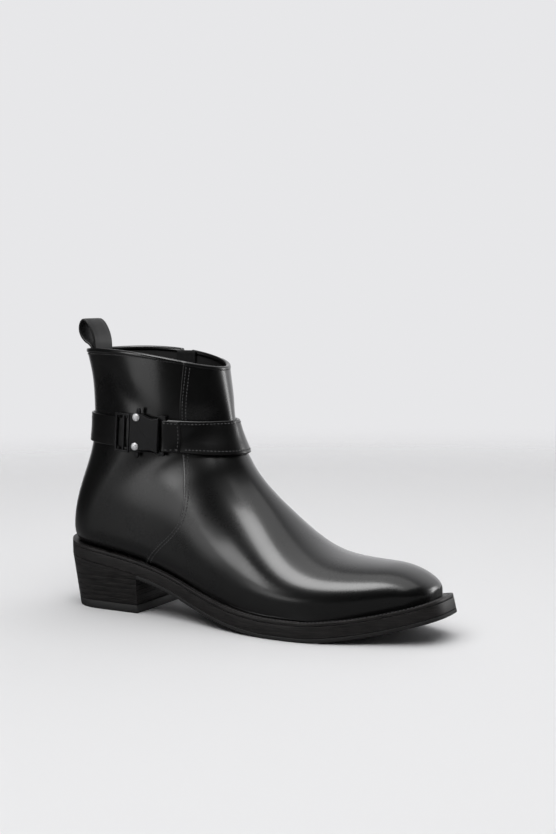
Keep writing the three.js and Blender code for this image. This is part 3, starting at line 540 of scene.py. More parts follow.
def shell(outer, inner, keep=None):
    rows, columns = outer.shape[:2]
    quads = gridFaces(rows, columns, keep)
    count = rows * columns
    edges = np.concatenate([quads[:, [k, (k + 1) % 4]] for k in range(4)])
    there = set(map(tuple, edges.tolist()))
    rim = np.array([e for e in there if (e[1], e[0]) not in there])
    rim = rim[np.lexsort((rim[:, 1], rim[:, 0]))]
    sides = np.stack([rim[:, 1], rim[:, 0], rim[:, 0] + count, rim[:, 1] + count], -1)
    faces = np.concatenate([quads, quads[:, ::-1] + count, sides])
    inside = np.concatenate([np.zeros(len(quads)), np.ones(len(quads)), np.zeros(len(sides))])
    return np.concatenate([outer.reshape(-1, 3), inner.reshape(-1, 3)]), faces, inside.astype(int)


def ringFaces(count, size):
    return [
        (a + j, a + (j + 1) % size, a + size + (j + 1) % size, a + size + j)
        for a in range(0, (count - 1) * size, size) for j in range(size)]


def loft(loops):
    loops = np.asarray(loops, float)
    count, size = loops.shape[:2]
    caps = [tuple(range(size))[::-1], tuple(range((count - 1) * size, count * size))]
    return loops.reshape(-1, 3), ringFaces(count, size) + caps


def piece(name, points, faces, finishes, replaced, slot, which=None, sharp=None):
    mesh = bpy.data.meshes.new(name)
    mesh.from_pydata(inFrame(points).tolist(), [], [list(map(int, f)) for f in faces])
    for finish in finishes if isinstance(finishes, list) else [finishes]:
        mesh.materials.append(finish)
    if which is not None:
        mesh.polygons.foreach_set("material_index", which)
    work = bmesh.new()
    work.from_mesh(mesh)
    bmesh.ops.remove_doubles(work, verts=work.verts, dist=2e-6)
    bmesh.ops.dissolve_degenerate(work, edges=work.edges, dist=1e-7)
    bmesh.ops.recalc_face_normals(work, faces=work.faces)
    for face in work.faces:
        face.smooth = len(face.verts) < 5  # flat caps stay flat
    for edge in work.edges if sharp else ():
        edge.smooth = not (len(edge.link_faces) == 2 and edge.calc_face_angle(0) > math.radians(sharp))
    if work.calc_volume(signed=True) < 0:
        bmesh.ops.reverse_faces(work, faces=work.faces)
    work.to_mesh(mesh)
    work.free()
    settle(addObject(name, mesh), replaced)


def settle(made, replaced, body="boot"):
    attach(made, body)
    if replaced:
        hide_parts(*replaced)


# The vamp. Its edge is the side seam, which starts at the sole and ends at the collar
seam = {
    "step": 0.8, "foldWidth": 0.8, "inside": -0.25, "rows": 90, "edgeRows": 112, "columns": 56, "girth": 60.0,
    "crestJoin": 0.62, "fanFrom": 0.2, "fanTo": 0.6, "lineSteps": 400,
}
foldShares = [0, 0.02, 0.12, 0.3, 0.6, 1]
toeRows = {"to": 0.06, "count": 16}  # closer rows round the toe, in keel


def catmull(points, t):
    points = np.asarray(points, float)
    place = np.clip(np.asarray(t, float), 0, 1) * (len(points) - 1)
    i = np.minimum(place.astype(int), len(points) - 2)
    w = (place - i)[..., None]
    p0, p1 = points[np.maximum(i - 1, 0)], points[i]
    p2, p3 = points[i + 1], points[np.minimum(i + 2, len(points) - 1)]
    v0, v1 = (p2 - p0) / 2, (p3 - p1) / 2
    return (2 * p1 - 2 * p2 + v0 + v1) * w ** 3 + (3 * p2 - 3 * p1 - 2 * v0 - v1) * w * w + v0 * w + p1


def evenly(points, count):
    gaps = np.linalg.norm(np.diff(points, axis=0), axis=1)
    run = np.concatenate([[0], np.cumsum(gaps)])
    at = np.linspace(0, run[-1], count)
    return np.stack([np.interp(at, run, points[:, k]) for k in range(points.shape[1])], -1)


def wayAlong(line):
    way = np.gradient(line, axis=0)
    return way / np.linalg.norm(way, axis=1, keepdims=True)


def seamLine(offset=0.0):
    path = [(a * length, u * last["collarBack"]) for a, u in sideSeamRows[::-1]]
    line = catmull(path, np.linspace(0, 1, seam["lineSteps"]))
    way = wayAlong(line)
    line = line + np.stack([way[:, 1], -way[:, 0]], -1) * offset
    keel, _ = placeOn(line[:, 0], line[:, 1], -1)
    inside = (line[:, 1] > soleTop(line[:, 0]) + clearance) & (keel <= 2)
    return line[inside]


def toeKeels():
    return toeRows["to"] * (1 - np.cos(np.linspace(0, np.pi / 2, toeRows["count"], endpoint=False)))


def vampGrid():
    line = evenly(seamLine(), seam["rows"])
    seamKeel, seamTurn = placeOn(line[:, 0], line[:, 1], -1)
    seamTurn[0], seamKeel[-1] = 0, 2
    foot = seamKeel[0]
    edgeKeel = np.linspace(toeRows["to"], foot, seam["edgeRows"], endpoint=False)
    edgeKeel = np.concatenate([toeKeels(), edgeKeel])
    fan = ease(np.linspace(0, 1, seam["rows"]), seam["fanFrom"], seam["fanTo"])
    rising = np.maximum.accumulate(mix(seam["crestJoin"], seamKeel, fan))
    crestKeel = np.concatenate([edgeKeel * seam["crestJoin"] / foot, np.minimum(rising, 2)])[:, None]
    edge = np.concatenate([edgeKeel, seamKeel])[:, None]
    turn = np.concatenate([np.zeros(len(edgeKeel)), seamTurn])[:, None]
    fold = seam["foldWidth"] * np.array(foldShares) / seam["girth"]
    across = np.concatenate([fold, np.linspace(fold[-1], 1, seam["columns"])[1:]])
    keel, turns = mix(edge, crestKeel, across), mix(turn, 1, across)
    return np.concatenate([keel, keel[:, -2::-1]], 1), np.concatenate([turns, 2 - turns[:, -2::-1]], 1)


def edgeRun(points):
    gaps = np.linalg.norm(np.diff(points, axis=1), axis=2)
    run = np.concatenate([np.zeros((len(points), 1)), np.cumsum(gaps, axis=1)], 1)
    return np.minimum(run, run[:, -1:] - run)


def roundShare(way):
    return np.sqrt(1 - (1 - np.clip(way, 0, 1)) ** 2)


def makeVamp():
    keel, turn = vampGrid()
    rounded = seam["step"] * roundShare(edgeRun(facePoint(keel, turn)) / seam["foldWidth"])
    points, faces, _ = shell(lifted(keel, turn, rounded), lifted(keel, turn, seam["inside"]))
    piece("vamp", points, faces, leather, ["upper"], "calf_leather")


# The quarters and lining: the whole form, with the zip's slot left open
quarter = {
    "columns": 132, "footRows": 96, "heelRows": 26, "shaftRows": 78, "heelZone": 0.12, "seamGroove": 0.55,
    "seamHalf": 0.7, "seamReach": 60, "seamMargin": 0.024,
}
zipLine = {
    "x": 76, "bottom": 62, "slot": 9, "slider": 11, "tapeWidth": 17, "tapeLift": -3.6, "tapeThick": 0.8,
    "tapeBelow": 4, "tapeAbove": 1.4, "tapeSag": 0.25, "tapeRows": 60, "tapeColumns": 13,
    "tooth": (0.42, 1.45, 0.55), "pitch": 1.25, "sway": 0.85, "toothLift": -2.1,
}
slotEase = {  # round the slot, in keel and turn, and how far its rim is rounded down
    "rows": 0.12, "columns": 0.1, "front": 1.44, "rear": 1.5, "margin": 0.015, "flat": 0.035, "rim": 0.006,
    "drop": 0.55,
}
rimColumns = [0, 0.0012, 0.0026, 0.0042, 0.0062, 0.009, 0.013, 0.018]
zipTop = mix(last["collarFront"], last["collarBack"], 0.75)
sliderMiddle = zipTop - zipLine["slider"] / 2 - 1


def quarterRows():
    heelFrom = cornerKeel - quarter["heelZone"]
    foot = np.linspace(toeRows["to"], heelFrom, quarter["footRows"], endpoint=False)
    heelWay = 1 - np.linspace(0, 1, quarter["heelRows"], endpoint=False)
    shaft = np.linspace(cornerKeel, 2, quarter["shaftRows"])
    return np.concatenate([toeKeels(), foot, cornerKeel - quarter["heelZone"] * heelWay ** 2, shaft])


def nearSlot(keel, low):
    return np.exp(-(((keel - low) / slotEase["rows"]) ** 2))


def slotTurns(keel):
    half = zipLine["slot"] / 2
    edges = zipLine["x"] + np.array([half, 0, -half])
    lows = placeOn(edges, np.full(3, float(zipLine["bottom"])), 1)[0]
    near = nearSlot(keel, lows[1])
    front, rear = (np.maximum(keel + near * (low - lows[1]), low) for low in (lows[0], lows[2]))
    return 2 - turnAt(front, edges[0]), 2 - turnAt(rear, edges[2]), lows


def makeQuarters():
    keel = quarterRows()
    frontTurn, rearTurn, lows = slotTurns(keel)
    front, rear = slotEase["front"], slotEase["rear"]
    close = np.array(rimColumns)
    nominal = np.linspace(0, 2, quarter["columns"])
    nominal = nominal[np.minimum(nominal, 2 - nominal) > quarter["seamMargin"]]
    nominal = nominal[(nominal < front - slotEase["margin"]) | (nominal > rear + slotEase["margin"])]
    slotColumns = [front - close[:6][::-1], np.linspace(front, rear, 4)[1:-1], rear + close[:6]]
    columns = np.sort(np.concatenate([close, nominal, 2 - close, *slotColumns]))
    turn = np.stack([
        np.interp(columns, [0, 1, front, rear, 2], [0, 1, f, r, 2]) for f, r in zip(frontTurn, rearTurn)])
    across = np.interp(columns, [front, rear], [lows[0], lows[2]]) - lows[1]
    fromMiddle = np.abs(columns - (front + rear) / 2)
    beside = 1 - ease(fromMiddle, slotEase["flat"], slotEase["flat"] + slotEase["columns"])
    grid = keel[:, None] + nearSlot(keel, lows[1])[:, None] * (across * beside)
    at = facePoint(grid, turn)
    onSeam = (grid >= cornerKeel) & (at[..., 0] < quarter["seamReach"])
    seamDip = np.exp(-((at[..., 1] / quarter["seamHalf"]) ** 2)) * onSeam * quarter["seamGroove"]
    besideSlot = keel[:, None] >= keel[np.argmin(np.abs(keel - lows[1]))]
    inSlot = (columns[:-1] >= front - 1e-9) & (columns[1:] <= rear + 1e-9)
    reach = np.minimum(np.abs(columns - front), np.abs(columns - rear)) / slotEase["rim"]
    dropped = slotEase["drop"] * (1 - roundShare(reach)) * besideSlot
    outer, inner = lifted(grid, turn, -seamDip - dropped), lifted(grid, turn, -last["wall"])
    points, faces, inside = shell(outer, inner, ~(inSlot & besideSlot[:-1]))
    piece("quarters_and_lining", points, faces, [leather, lining], ["upper"], "calf_leather", which=inside)


makeVamp()
makeQuarters()
print("upper made")

# The bound top line
binding = {"rows": 260, "rimStep": 0.005}
bindingSection = [  # out from the wall's face, up from the rim
    (0.1, -2.2), (0.34, -2.05), (0.42, -1.2), (0.36, -0.2), (0, 0.55), (-0.6, 0.85), (-1.2, 0.9), (-1.8, 0.7),
    (-2.3, 0.1), (-2.5, -1.2), (-2.45, -2.6), (-2.1, -2.75), (-1, -2.75),
]


def vampLift(turn):
    seamTurn = float(placeOn(*[np.array([v]) for v in seamLine()[-1]], -1)[1][0])
    fromCrest = np.abs(np.mod(turn, 2) - 1)
    return seam["step"] * ease(1 - seamTurn - fromCrest, -0.004, 0.01)


def collarTurns(inset, count):
    frontTurn, rearTurn, _ = slotTurns(np.array([2.0]))
    return np.linspace(float(frontTurn[0]) - inset, float(rearTurn[0]) - 2 + inset, count)


def makeBinding():
    turn = collarTurns(0, binding["rows"])
    rim, out = lifted(2.0, turn, 0), faceNormal(2.0, turn)
    up = facePoint(2.0, turn) - facePoint(2.0 - binding["rimStep"], turn)
    up /= np.linalg.norm(up, axis=1, keepdims=True)
    more = vampLift(turn)
    loops = [
        [rim[i] + out[i] * (a + (more[i] if a > -1 else 0)) + up[i] * b for a, b in bindingSection]
        for i in range(len(turn))]
    piece("collar_binding", *loft(loops), leather, (), "calf_leather")


makeBinding()

# Straps round the ankle
strap = {
    "rise": 132.6, "fall": 5.5, "curve": 1.5, "frontWidth": 23.7, "rearWidth": 21.2, "frontThick": 2.6,
    "rearThick": 1.7, "onVamp": 1.1, "onQuarter": 0.6, "steps": 200, "pastSlot": 1.15, "endSize": 0.82,
    "round": 0.9, "crown": 0.12, "crownIn": 3.2, "dip": 0.08, "dipIn": 2.2,
}
buckle = {
    "at": 82.5, "plateTilt": 0.11, "rise": 0.7, "length": 21.9, "base": 1.3, "thick": 3.9, "half": 13.2,
    "waist": 11.2, "slot": 2.4, "bar": 2.2, "barHalf": 14.2, "barThick": 1.6, "armThick": 2.2,
    "armRound": 0.25, "edgeRound": 0.5, "rivetAlong": -6.4, "rivetUp": 10.4, "rivetRise": 0.9,
    "rivetRadius": 2.4, "rivetDome": 1.1,
}
plateEnd = buckle["length"] / 2
slotEnd = plateEnd + buckle["slot"]
foldEnd = slotEnd + buckle["bar"]
strapEdge = zipLine["slot"] / 2 * strap["pastSlot"]


def strapLine(x):
    along = np.maximum(0, (x - last["heelInset"]) / (last["collarFrontX"] - last["heelInset"]))
    return strap["rise"] - strap["fall"] * along ** strap["curve"]


def strapPoint(turn, up, lift):
    turn, up, lift = np.broadcast_arrays(*[np.asarray(v, float) for v in (turn, up, lift)])

    def over(keel):
        p = facePoint(keel, turn)
        return p[..., 2] - strapLine(p[..., 0]) - up

    keel = rootBetween(over, np.full(turn.shape, 0.5), np.full(turn.shape, 2.0), 26)
    return facePoint(keel, turn) + faceNormal(keel, turn) * lift[..., None]


def strapTurn(x, side):
    x = np.array(float(x))
    return float(placeOn(x, strapLine(x), side)[1])


def strapSection(half, low, high):
    r = min(strap["round"], (high - low) / 2)
    arc = [(math.cos(a), math.sin(a)) for a in np.linspace(-math.pi / 2, math.pi / 2, 7)]
    right = [(half - r + r * c, (low + r if s < 0 else high - r) + r * s) for c, s in arc]
    crown = [(k * (half - strap["crownIn"]), high + strap["crown"]) for k in (1, 0.5, 0, -0.5, -1)]
    dip, level = half - strap["dipIn"], high - strap["dip"]
    return right + [(dip, level), *crown, (-dip, level)] + [(-a, b) for a, b in right[::-1]]


def cutTurns(x, side, up, wrap=0):
    x = np.full(len(up), float(x))
    return placeOn(x, strapLine(x) + up, side)[1] - wrap


def strapPiece(name, start, stop, width, low, thick):
    high = low + thick
    section = np.array(strapSection(width / 2, low, high))
    share = np.concatenate([[0, 0.0012], np.linspace(0.004, 0.996, strap["steps"]), [0.9988, 1]])
    middle = np.array([0, (low + high) / 2])
    first, final = (cutTurns(*end[:2], section[:, 0], end[2]) for end in (start, stop))
    loops = []
    for s in share:
        size = strap["endSize"] if s in (0, 1) else 1
        up, lift = ((section - middle) * np.array([1 - (1 - size) * 0.1, size]) + middle).T
        loops.append(strapPoint(mix(first, final, s), up, lift))
    piece(name, *loft(loops), strapLeather, [name], "calf_leather")


def makeStraps():
    ends = (buckle["at"] + foldEnd + 1, -1, 0), (zipLine["x"] + strapEdge, 1, 0)
    strapPiece("strap_front", *ends, strap["frontWidth"], strap["onVamp"], strap["frontThick"])
    ends = (zipLine["x"] - strapEdge, 1, 2), (buckle["at"] - plateEnd - 1, -1, 0)
    strapPiece("strap_rear", *ends, strap["rearWidth"], strap["onQuarter"], strap["rearThick"])


# The strap's end, folded back round the buckle's bar: places along the strap and lifts off the upper
fold = {
    "half": 11.35, "tail": 107.2, "nose": 94.3, "top": 5.3, "low": 0.95, "stitchAt": 105.3, "closer": 0.5,
    "leanTo": 101, "rimFrom": 0.94, "rimSize": 0.16, "stitchLift": 4.86, "sideLift": 5.32, "sideFall": 0.045,
    "sideFrom": 99,
}
foldTop = [(101.5, 5.15), (103.8, 4.95), (105.3, 4.8), (106.5, 4.75), (107, 4.55)]
foldEnds = [0.85, 0.95, 0.985, 1]  # closer sections at the fold's two edges, as shares of its half width


def makeFold():
    nose, tail, top, low = (fold[k] for k in ("nose", "tail", "top", "low"))
    middle, radius = (top + low) / 2, (top - low) / 2
    bend = [
        (nose + radius - radius * math.cos(a), middle + radius * math.sin(a))
        for a in np.linspace(-math.pi / 2, math.pi / 2, 11)]
    outline = np.array(
        bend + [(99, top)] + foldTop + [(tail, 4.1), (tail, 3.2), (104, low + 0.4), (100, low)])
    centre = outline.mean(0)
    loops = []
    for share in [-k for k in foldEnds[:0:-1]] + [*np.linspace(-foldEnds[0], foldEnds[0], 9)] + foldEnds[1:]:
        past = max(0, (abs(share) - fold["rimFrom"]) / (1 - fold["rimFrom"]))
        size = 1 - fold["rimSize"] * (1 - math.sqrt(max(0, 1 - past ** 2)))
        x, lift = ((outline - centre) * (1 - (1 - size) * np.array([0.2, 1])) + centre).T
        lean = buckle["plateTilt"] * share * fold["half"] - fold["closer"]
        x = x + lean * np.clip((fold["leanTo"] - x) / (fold["leanTo"] - nose), 0, 1)
        loops.append(onFace(x, strapLine(x) + share * fold["half"], -1, lift))
    piece("strap_fold", *loft(loops), strapLeather, ["strap_front"], "calf_leather")


makeStraps()
makeFold()
print("straps made")

# The buckle, flat and touching the upper at one point


def touching(x, z, side, tilt):
    keel, turn = placeOn(np.array(float(x)), np.array(float(z)), side)
    out = faceNormal(keel, turn)
    along = np.array([-side, 0, 0]) + out * side * out[0]
    along /= np.linalg.norm(along)
    along = along * math.cos(tilt) + np.cross(out, along) * math.sin(tilt)
    return along, np.cross(out, along), out, facePoint(keel, turn)


def inTouch(place, points):
    along, up, out, at = place
    points = np.asarray(points, float)
    return at + points[..., :1] * along + points[..., 1:2] * up + points[..., 2:3] * out


buckleHeight = float(strapLine(np.array(buckle["at"]))) + buckle["rise"]
buckleFrame = touching(buckle["at"], buckleHeight, -1, -buckle["plateTilt"])
plateEdge = [  # share of half the plate's length, half height
    (-1, 12.4), (-0.93, buckle["half"]), (-0.3, buckle["half"] + 0.3), (0.1, 12.2), (0.4, buckle["waist"]),
    (0.7, buckle["waist"] + 0.3), (1, 12.7),
]
armEdge = [  # along, and in from the bar's end
    (plateEnd - 1.2, 2.4), (plateEnd - 1.2, 1.2), (plateEnd + 0.4, 0.1), (plateEnd + 1.4, 0),
    (foldEnd - 0.4, 0), (foldEnd, 0.5), (foldEnd, 2.9), (slotEnd, 2.9), (slotEnd - 0.3, 2.4),
]
rimSteps = [(1, 0), (0.3, 0.08), (0, 0.3)]  # in from the outline and up, as shares of the edge's rounding


def slab(outline, low, high, rim):
    outline = np.asarray(outline, float)
    ahead, behind = np.roll(outline, -1, 0) - outline, outline - np.roll(outline, 1, 0)
    normals = []
    for a, b in zip(ahead, behind):
        n = np.array([a[1], -a[0]]) / np.linalg.norm(a) + np.array([b[1], -b[0]]) / np.linalg.norm(b)
        normals.append(n / max(1e-9, n @ n / 2))
    normals = np.array(normals)
    levels = [(rim * i, low + rim * h) for i, h in rimSteps]
    levels += [(rim * i, high - rim * h) for i, h in rimSteps[::-1]]
    return [np.column_stack([outline - normals * i, np.full(len(outline), level)]) for i, level in levels]


def ring(count):
    return np.linspace(0, 2 * math.pi, count, endpoint=False)


def metalPiece(name, loops, node, sharp=38):
    points, faces = loft([inTouch(buckleFrame, level) for level in loops])
    piece(name, points, faces, blackMetal, [node], "black_metal", sharp=sharp)


def makePlate():
    half = catmull(plateEdge, np.linspace(0, 1, 61))
    outline = [(a * plateEnd, -h) for a, h in half] + [(a * plateEnd, h) for a, h in half[::-1]]
    low, high = buckle["base"], buckle["base"] + buckle["thick"]
    metalPiece("buckle_plate", slab(outline, low, high, buckle["edgeRound"]), "buckle_plate")


def makeBar():
    bar, half = buckle["bar"] / 2, buckle["barHalf"]
    low, thick = buckle["base"], buckle["barThick"]
    for name, side in (("upper", 1), ("lower", -1)):
        outline = [(a, side * (half - d)) for a, d in armEdge][::-side]
        levels = slab(outline, low, low + buckle["armThick"], buckle["armRound"])
        metalPiece("buckle_arm_" + name, levels, "buckle_plate")
    middle = (slotEnd + foldEnd) / 2
    rod = [
        [(middle + bar * math.cos(a), b, low + thick / 2 * (1 + math.sin(a))) for a in ring(20)]
        for b in np.linspace(3 - half, half - 3, 3)]
    metalPiece("buckle_bar", rod, "buckle_plate", 50)


rivetFoot = [(1.12, 0), (1.12, 0.25), (1, 0.42)]  # share of the radius, height


def makeRivets():
    seat = buckle["base"] + buckle["thick"]
    r, foot = buckle["rivetRadius"], rivetFoot[-1][1]
    dome = buckle["rivetDome"] + clearance - foot
    profile = [(r * k, h) for k, h in rivetFoot] + [
        (r * math.cos(a), foot + dome * math.sin(a)) for a in np.linspace(0.15, math.pi / 2 - 0.02, 9)]
    for name, side in (("rivet_upper", 1), ("rivet_lower", -1)):
        up = buckle["rivetRise"] + side * buckle["rivetUp"]
        loops = [
            inTouch(buckleFrame, [
                (buckle["rivetAlong"] + q * math.cos(a), up + q * math.sin(a), seat + h) for a in ring(32)])
            for q, h in profile]
        piece(name, *loft(loops), brightMetal, [name], "bright_metal")


makePlate()
makeBar()
makeRivets()

bevels = {  # the frame's own shapes that only need their edges rounded, and by how much
    "buckle_ladder": 0.3, "buckle_lever_upper": 0.35, "buckle_lever_lower": 0.35, "zip_slider": 0.3,
    "zip_pull": 0.3,
}


def bevelled(node, width):
    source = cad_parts[node]
    mesh = source.data.copy()
    mesh.name = node
    work = bmesh.new()
    work.from_mesh(mesh)
    bmesh.ops.remove_doubles(work, verts=work.verts, dist=1e-6)
    bmesh.ops.dissolve_limit(work, angle_limit=math.radians(2), verts=work.verts, edges=work.edges)
    for face in work.faces:
        face.smooth = True
    work.to_mesh(mesh)
    work.free()
    mesh.transform(source.matrix_world)
    mesh.materials.clear()
    mesh.materials.append(blackMetal)
    made = addObject(node, mesh)
    rounded = made.modifiers.new("rounded", "BEVEL")
    rounded.width, rounded.segments = width * mm, 3
    rounded.limit_method, rounded.angle_limit = "ANGLE", math.radians(28)
    rounded.harden_normals = True
    settle(made, [node], "zip_pull" if node == "zip_pull" else "boot")


for node, width in bevels.items():
    bevelled(node, width)
print("buckle made")

# The pull loop behind the collar
loop = {"width": 22, "thick": 1.8, "steps": 130, "curveSteps": 600}
loopRows = [  # forward and up from the back corner of the collar
    (9.4, -15), (7.1, -4), (6.6, 0.8), (4.2, 3.9), (0.3, 6.4), (-3.1, 10.4), (-4.4, 15.4), (-3.2, 20),
    (-0.4, 21.8), (3.6, 18.8), (6.9, 13), (8.6, 7), (9, 1), (9.4, -4), (11.6, -15),
]


def makeLoop():
    corner = np.array([float(backSeam(last["collarBack"])), last["collarBack"]])
    path = evenly(catmull(loopRows, np.linspace(0, 1, loop["curveSteps"])), loop["steps"]) + corner
    way = wayAlong(path)
    section = strapSection(loop["width"] / 2, -loop["thick"] / 2, loop["thick"] / 2)
    loops = [
        [(p[0] - w[1] * lift, side, p[1] + w[0] * lift) for side, lift in section] for p, w in zip(path, way)]
    piece("pull_loop", *loft(loops), loopLeather, ["pull_loop"], "calf_leather")


makeLoop()


# The zip's tape
def makeTape():
    ends = zipLine["bottom"] - zipLine["tapeBelow"], zipTop + zipLine["tapeAbove"]
    z = np.linspace(*ends, zipLine["tapeRows"])
    across = np.linspace(-1, 1, zipLine["tapeColumns"])
    z, x = np.meshgrid(z, zipLine["x"] + across * zipLine["tapeWidth"] / 2, indexing="ij")
    low = zipLine["tapeLift"] - zipLine["tapeSag"] * np.abs(across)
    points, faces, _ = shell(onFace(x, z, 1, low + zipLine["tapeThick"]), onFace(x, z, 1, low))
    piece("zip_tape", points, faces, tape, ["zip_tape"], "zip_tape")


makeTape()
print("loop and tape made")

# The sole: layers with rounded rims, and the heel under them
soleRows = {"points": 150, "heelEase": 1.15, "toeEase": 1.3}
layerRim = [(0, 1), (0.12, 0.45), (0.45, 0.12), (1, 0)]  # height and inset, as shares of the rim's rounding


def toeEnd(height, inset):
    return length - inset - last["toeLean"] * height / band


def soleHalf(x, side, inset, height):
    back = roundEnd(x - inset, last["heelRound"] - inset, last["endFullness"], 2)
    front = roundEnd(toeEnd(height, inset) - x, last["toeRound"], last["endFullness"], last["toeSquareness"])
    return (planHalf(x, side) - inset) * back * front


def easedShares(count):
    return (1 - np.cos(np.linspace(0, np.pi, count))) / 2


def closedLoop(x, lateral, medial, z):
    return np.concatenate([np.stack([x, -lateral, z], -1), np.stack([x, medial, z], -1)[::-1]])


def soleLoop(first, height, inset):
    share = easedShares(soleRows["points"])
    heelEase, toeEase = soleRows["heelEase"], soleRows["toeEase"]
    towardsHeel = share ** heelEase * 0.5 ** (1 - heelEase)
    share = np.where(share < 0.5, towardsHeel, 1 - (1 - share) ** toeEase * 0.5 ** (1 - toeEase))
    x = mix(first + inset, toeEnd(height, inset), share)
    half = [soleHalf(x, side, inset, height) for side in (-1, 1)]
    return closedLoop(x, *half, underside(x) + height)


def soleLayer(name, first, low, thick, rim, finish, slot):
    levels = [(low + rim * h, rim * i) for h, i in layerRim]
    levels += [(low + thick - rim * h, rim * i) for h, i in layerRim[::-1]]
    stackMesh(name, [soleLoop(first, height, inset) for height, inset in levels], finish, slot)


def stackMesh(name, loops, finish, slot):
    loops = np.array(loops)
    count, size = loops.shape[:2]
    faces = ringFaces(count, size)
    end = (count - 1) * size
    for j in range(size // 2 - 1):
        strip = (j, j + 1, size - 2 - j, size - 1 - j)
        faces += [strip[::-1], tuple(end + k for k in strip)]
    piece(name, loops.reshape(-1, 3), faces, finish, [name], slot, sharp=50)


heel = {
    "breast": 71.6, "taper": 6.5, "narrowing": 0.05, "top": 6, "lifts": 6, "groove": 0.3, "points": 110,
    "rowEase": 1.7, "rim": 0.3, "bandGrooves": (0.35, 0.7), "bandGrowth": 12,
}
topPieceEdge = [(0, 0.4), (0.15, 0.12), (0.5, 0), (heel["top"] - 0.3, 0), (heel["top"], 0.3)]  # height, inset


def heelLoop(levelOf, inset):
    t = np.linspace(-1, 1, heel["points"] * 2 + 1)
    x = mix(inset, heel["breast"] - inset, np.abs(t) ** heel["rowEase"])
    side = np.where(t < 0, -1, 1)
    top = underside(x) + last["outsole"]
    level = levelOf(top)
    down = 1 - level / top
    back = heel["taper"] * down * (1 - x / heel["breast"])
    half = soleHalf(x, side, inset, 0) * (1 - heel["narrowing"] * down)
    return np.stack([x + back, side * half, np.broadcast_to(level, x.shape)], -1)


def grooveSteps(deep):
    g = heel["groove"]
    return [(-g, 0), (-0.3 * g, g * deep), (0.3 * g, g * deep), (g, 0)]


def makeHeel():
    low = heel["top"] + clearance
    breastTop = float(underside(heel["breast"])) + last["outsole"]
    loops = [heelLoop(lambda top: low, heel["rim"]), heelLoop(lambda top: low + heel["rim"], 0)]
    for k in range(1, heel["lifts"]):
        for drop, inset in grooveSteps(0.9):
            level = mix(low, breastTop, k / heel["lifts"]) + drop
            loops.append(heelLoop(lambda top: level, inset))
    for share in heel["bandGrooves"]:  # the upper lifts rise with the band
        for drop, inset in grooveSteps(0.7):
            def levelOf(top):
                return mix(breastTop, top, share) + drop * (0.02 + (top - breastTop) / heel["bandGrowth"])

            loops.append(heelLoop(levelOf, inset))
    loops.append(heelLoop(lambda top: top, 0))
    stackMesh("heel_stack", loops, stackLeather, "sole_edge")
    loops = [heelLoop(lambda top: height, inset) for height, inset in topPieceEdge]
    stackMesh("heel_top_piece", loops, rubber, "sole_rubber")


def makeSole():
    outsole, midsole, welt = (last[k] for k in ("outsole", "midsole", "welt"))
    midLow = outsole + clearance
    soleLayer("outsole", heel["breast"] + clearance, 0, outsole, 0.45, rubber, "sole_rubber")
    soleLayer("midsole", 0, midLow, midsole, 0.2, edgeLeather, "sole_edge")
    soleLayer("welt", 0, midLow + midsole + clearance, welt, 0.3, edgeLeather, "sole_edge")


insole = {"gap": 1, "thick": 2.5, "points": 120}


def makeInsole():
    inset, thick = last["wall"] + insole["gap"], insole["thick"]
    back, front = last["heelInset"] + inset, footFront - inset - thick
    loops = []
    for height, more in ((0, 0.4), (0.4, 0), (thick - 0.6, 0), (thick - 0.15, 0.25), (thick, 0.8)):
        x = mix(back + more, front - more, easedShares(insole["points"]))
        ends = footEnds(x - back - more, front - more - x, inset, 0)
        half = [(featherHalf(x, side, inset) - more) * ends for side in (-1, 1)]
        loops.append(closedLoop(x, *half, soleTop(x) + clearance + height))
    stackMesh("insole", loops, lining, "sock_leather")


makeSole()
makeHeel()
makeInsole()
print("sole made")

# Stitches and zip teeth: small beads along lines, by Geometry Nodes


def beadTree():
    tree = bpy.data.node_groups.new("beadsAlongLines", "GeometryNodeTree")
    names = {}
    for name, kind in (
            ("Geometry", "Geometry"), ("Spacing", "Float"), ("Size", "Vector"), ("Sway", "Float"),
            ("Spread", "Float"), ("Seed", "Int"), ("Finish", "Material")):
        socket = tree.interface.new_socket(name, in_out="INPUT", socket_type="NodeSocket" + kind)
        names[name] = socket.identifier
    tree.interface.new_socket("Geometry", in_out="OUTPUT", socket_type="NodeSocketGeometry")
    net = Net(tree)
    start = tree.nodes.new("NodeGroupInput")
    lines, spacing, size, sway, spread, seed, finish = (Sock(net, start.outputs[name]) for name in names)
    curve = net.node("GeometryNodeMeshToCurve", i0=lines)
    points = net.node("GeometryNodeResampleCurve", {"mode": "LENGTH"}, Curve=curve, Length=spacing)
    outward = net.node("GeometryNodeInputNamedAttribute", {"data_type": "FLOAT_VECTOR"}, Name="outward")
    standing = net.node("FunctionNodeAlignRotationToVector", {"axis": "Z"}, Vector=outward)
    turned = net.node(
        "FunctionNodeAlignRotationToVector", {"axis": "X", "pivot_axis": "Z"}, Rotation=standing,
        Vector=net.node("GeometryNodeInputTangent"))
    bead = net.node("GeometryNodeMeshUVSphere", Segments=8, Rings=5, Radius=1)
    sized = net.node("GeometryNodeTransform", Geometry=bead, Scale=size)
    scale = net.node("FunctionNodeRandomValue", {"data_type": "FLOAT"}, out=1, i2=1 - spread, i3=1, Seed=seed)
    beads = net.node(
        "GeometryNodeInstanceOnPoints", Points=points, Instance=sized, Rotation=turned, Scale=scale)
    odd = net.maths("MODULO", net.node("GeometryNodeInputIndex"), 2)
    offset = net.node("ShaderNodeCombineXYZ", Y=(odd * 2 - 1) * sway)
    moved = net.node("GeometryNodeTranslateInstances", Instances=beads, Translation=offset)
    real = net.node("GeometryNodeRealizeInstances", i0=moved)
    smooth = net.node("GeometryNodeSetShadeSmooth", i0=real)
    net.end("NodeGroupOutput", net.node("GeometryNodeSetMaterial", Geometry=smooth, Material=finish))
    return tree, names


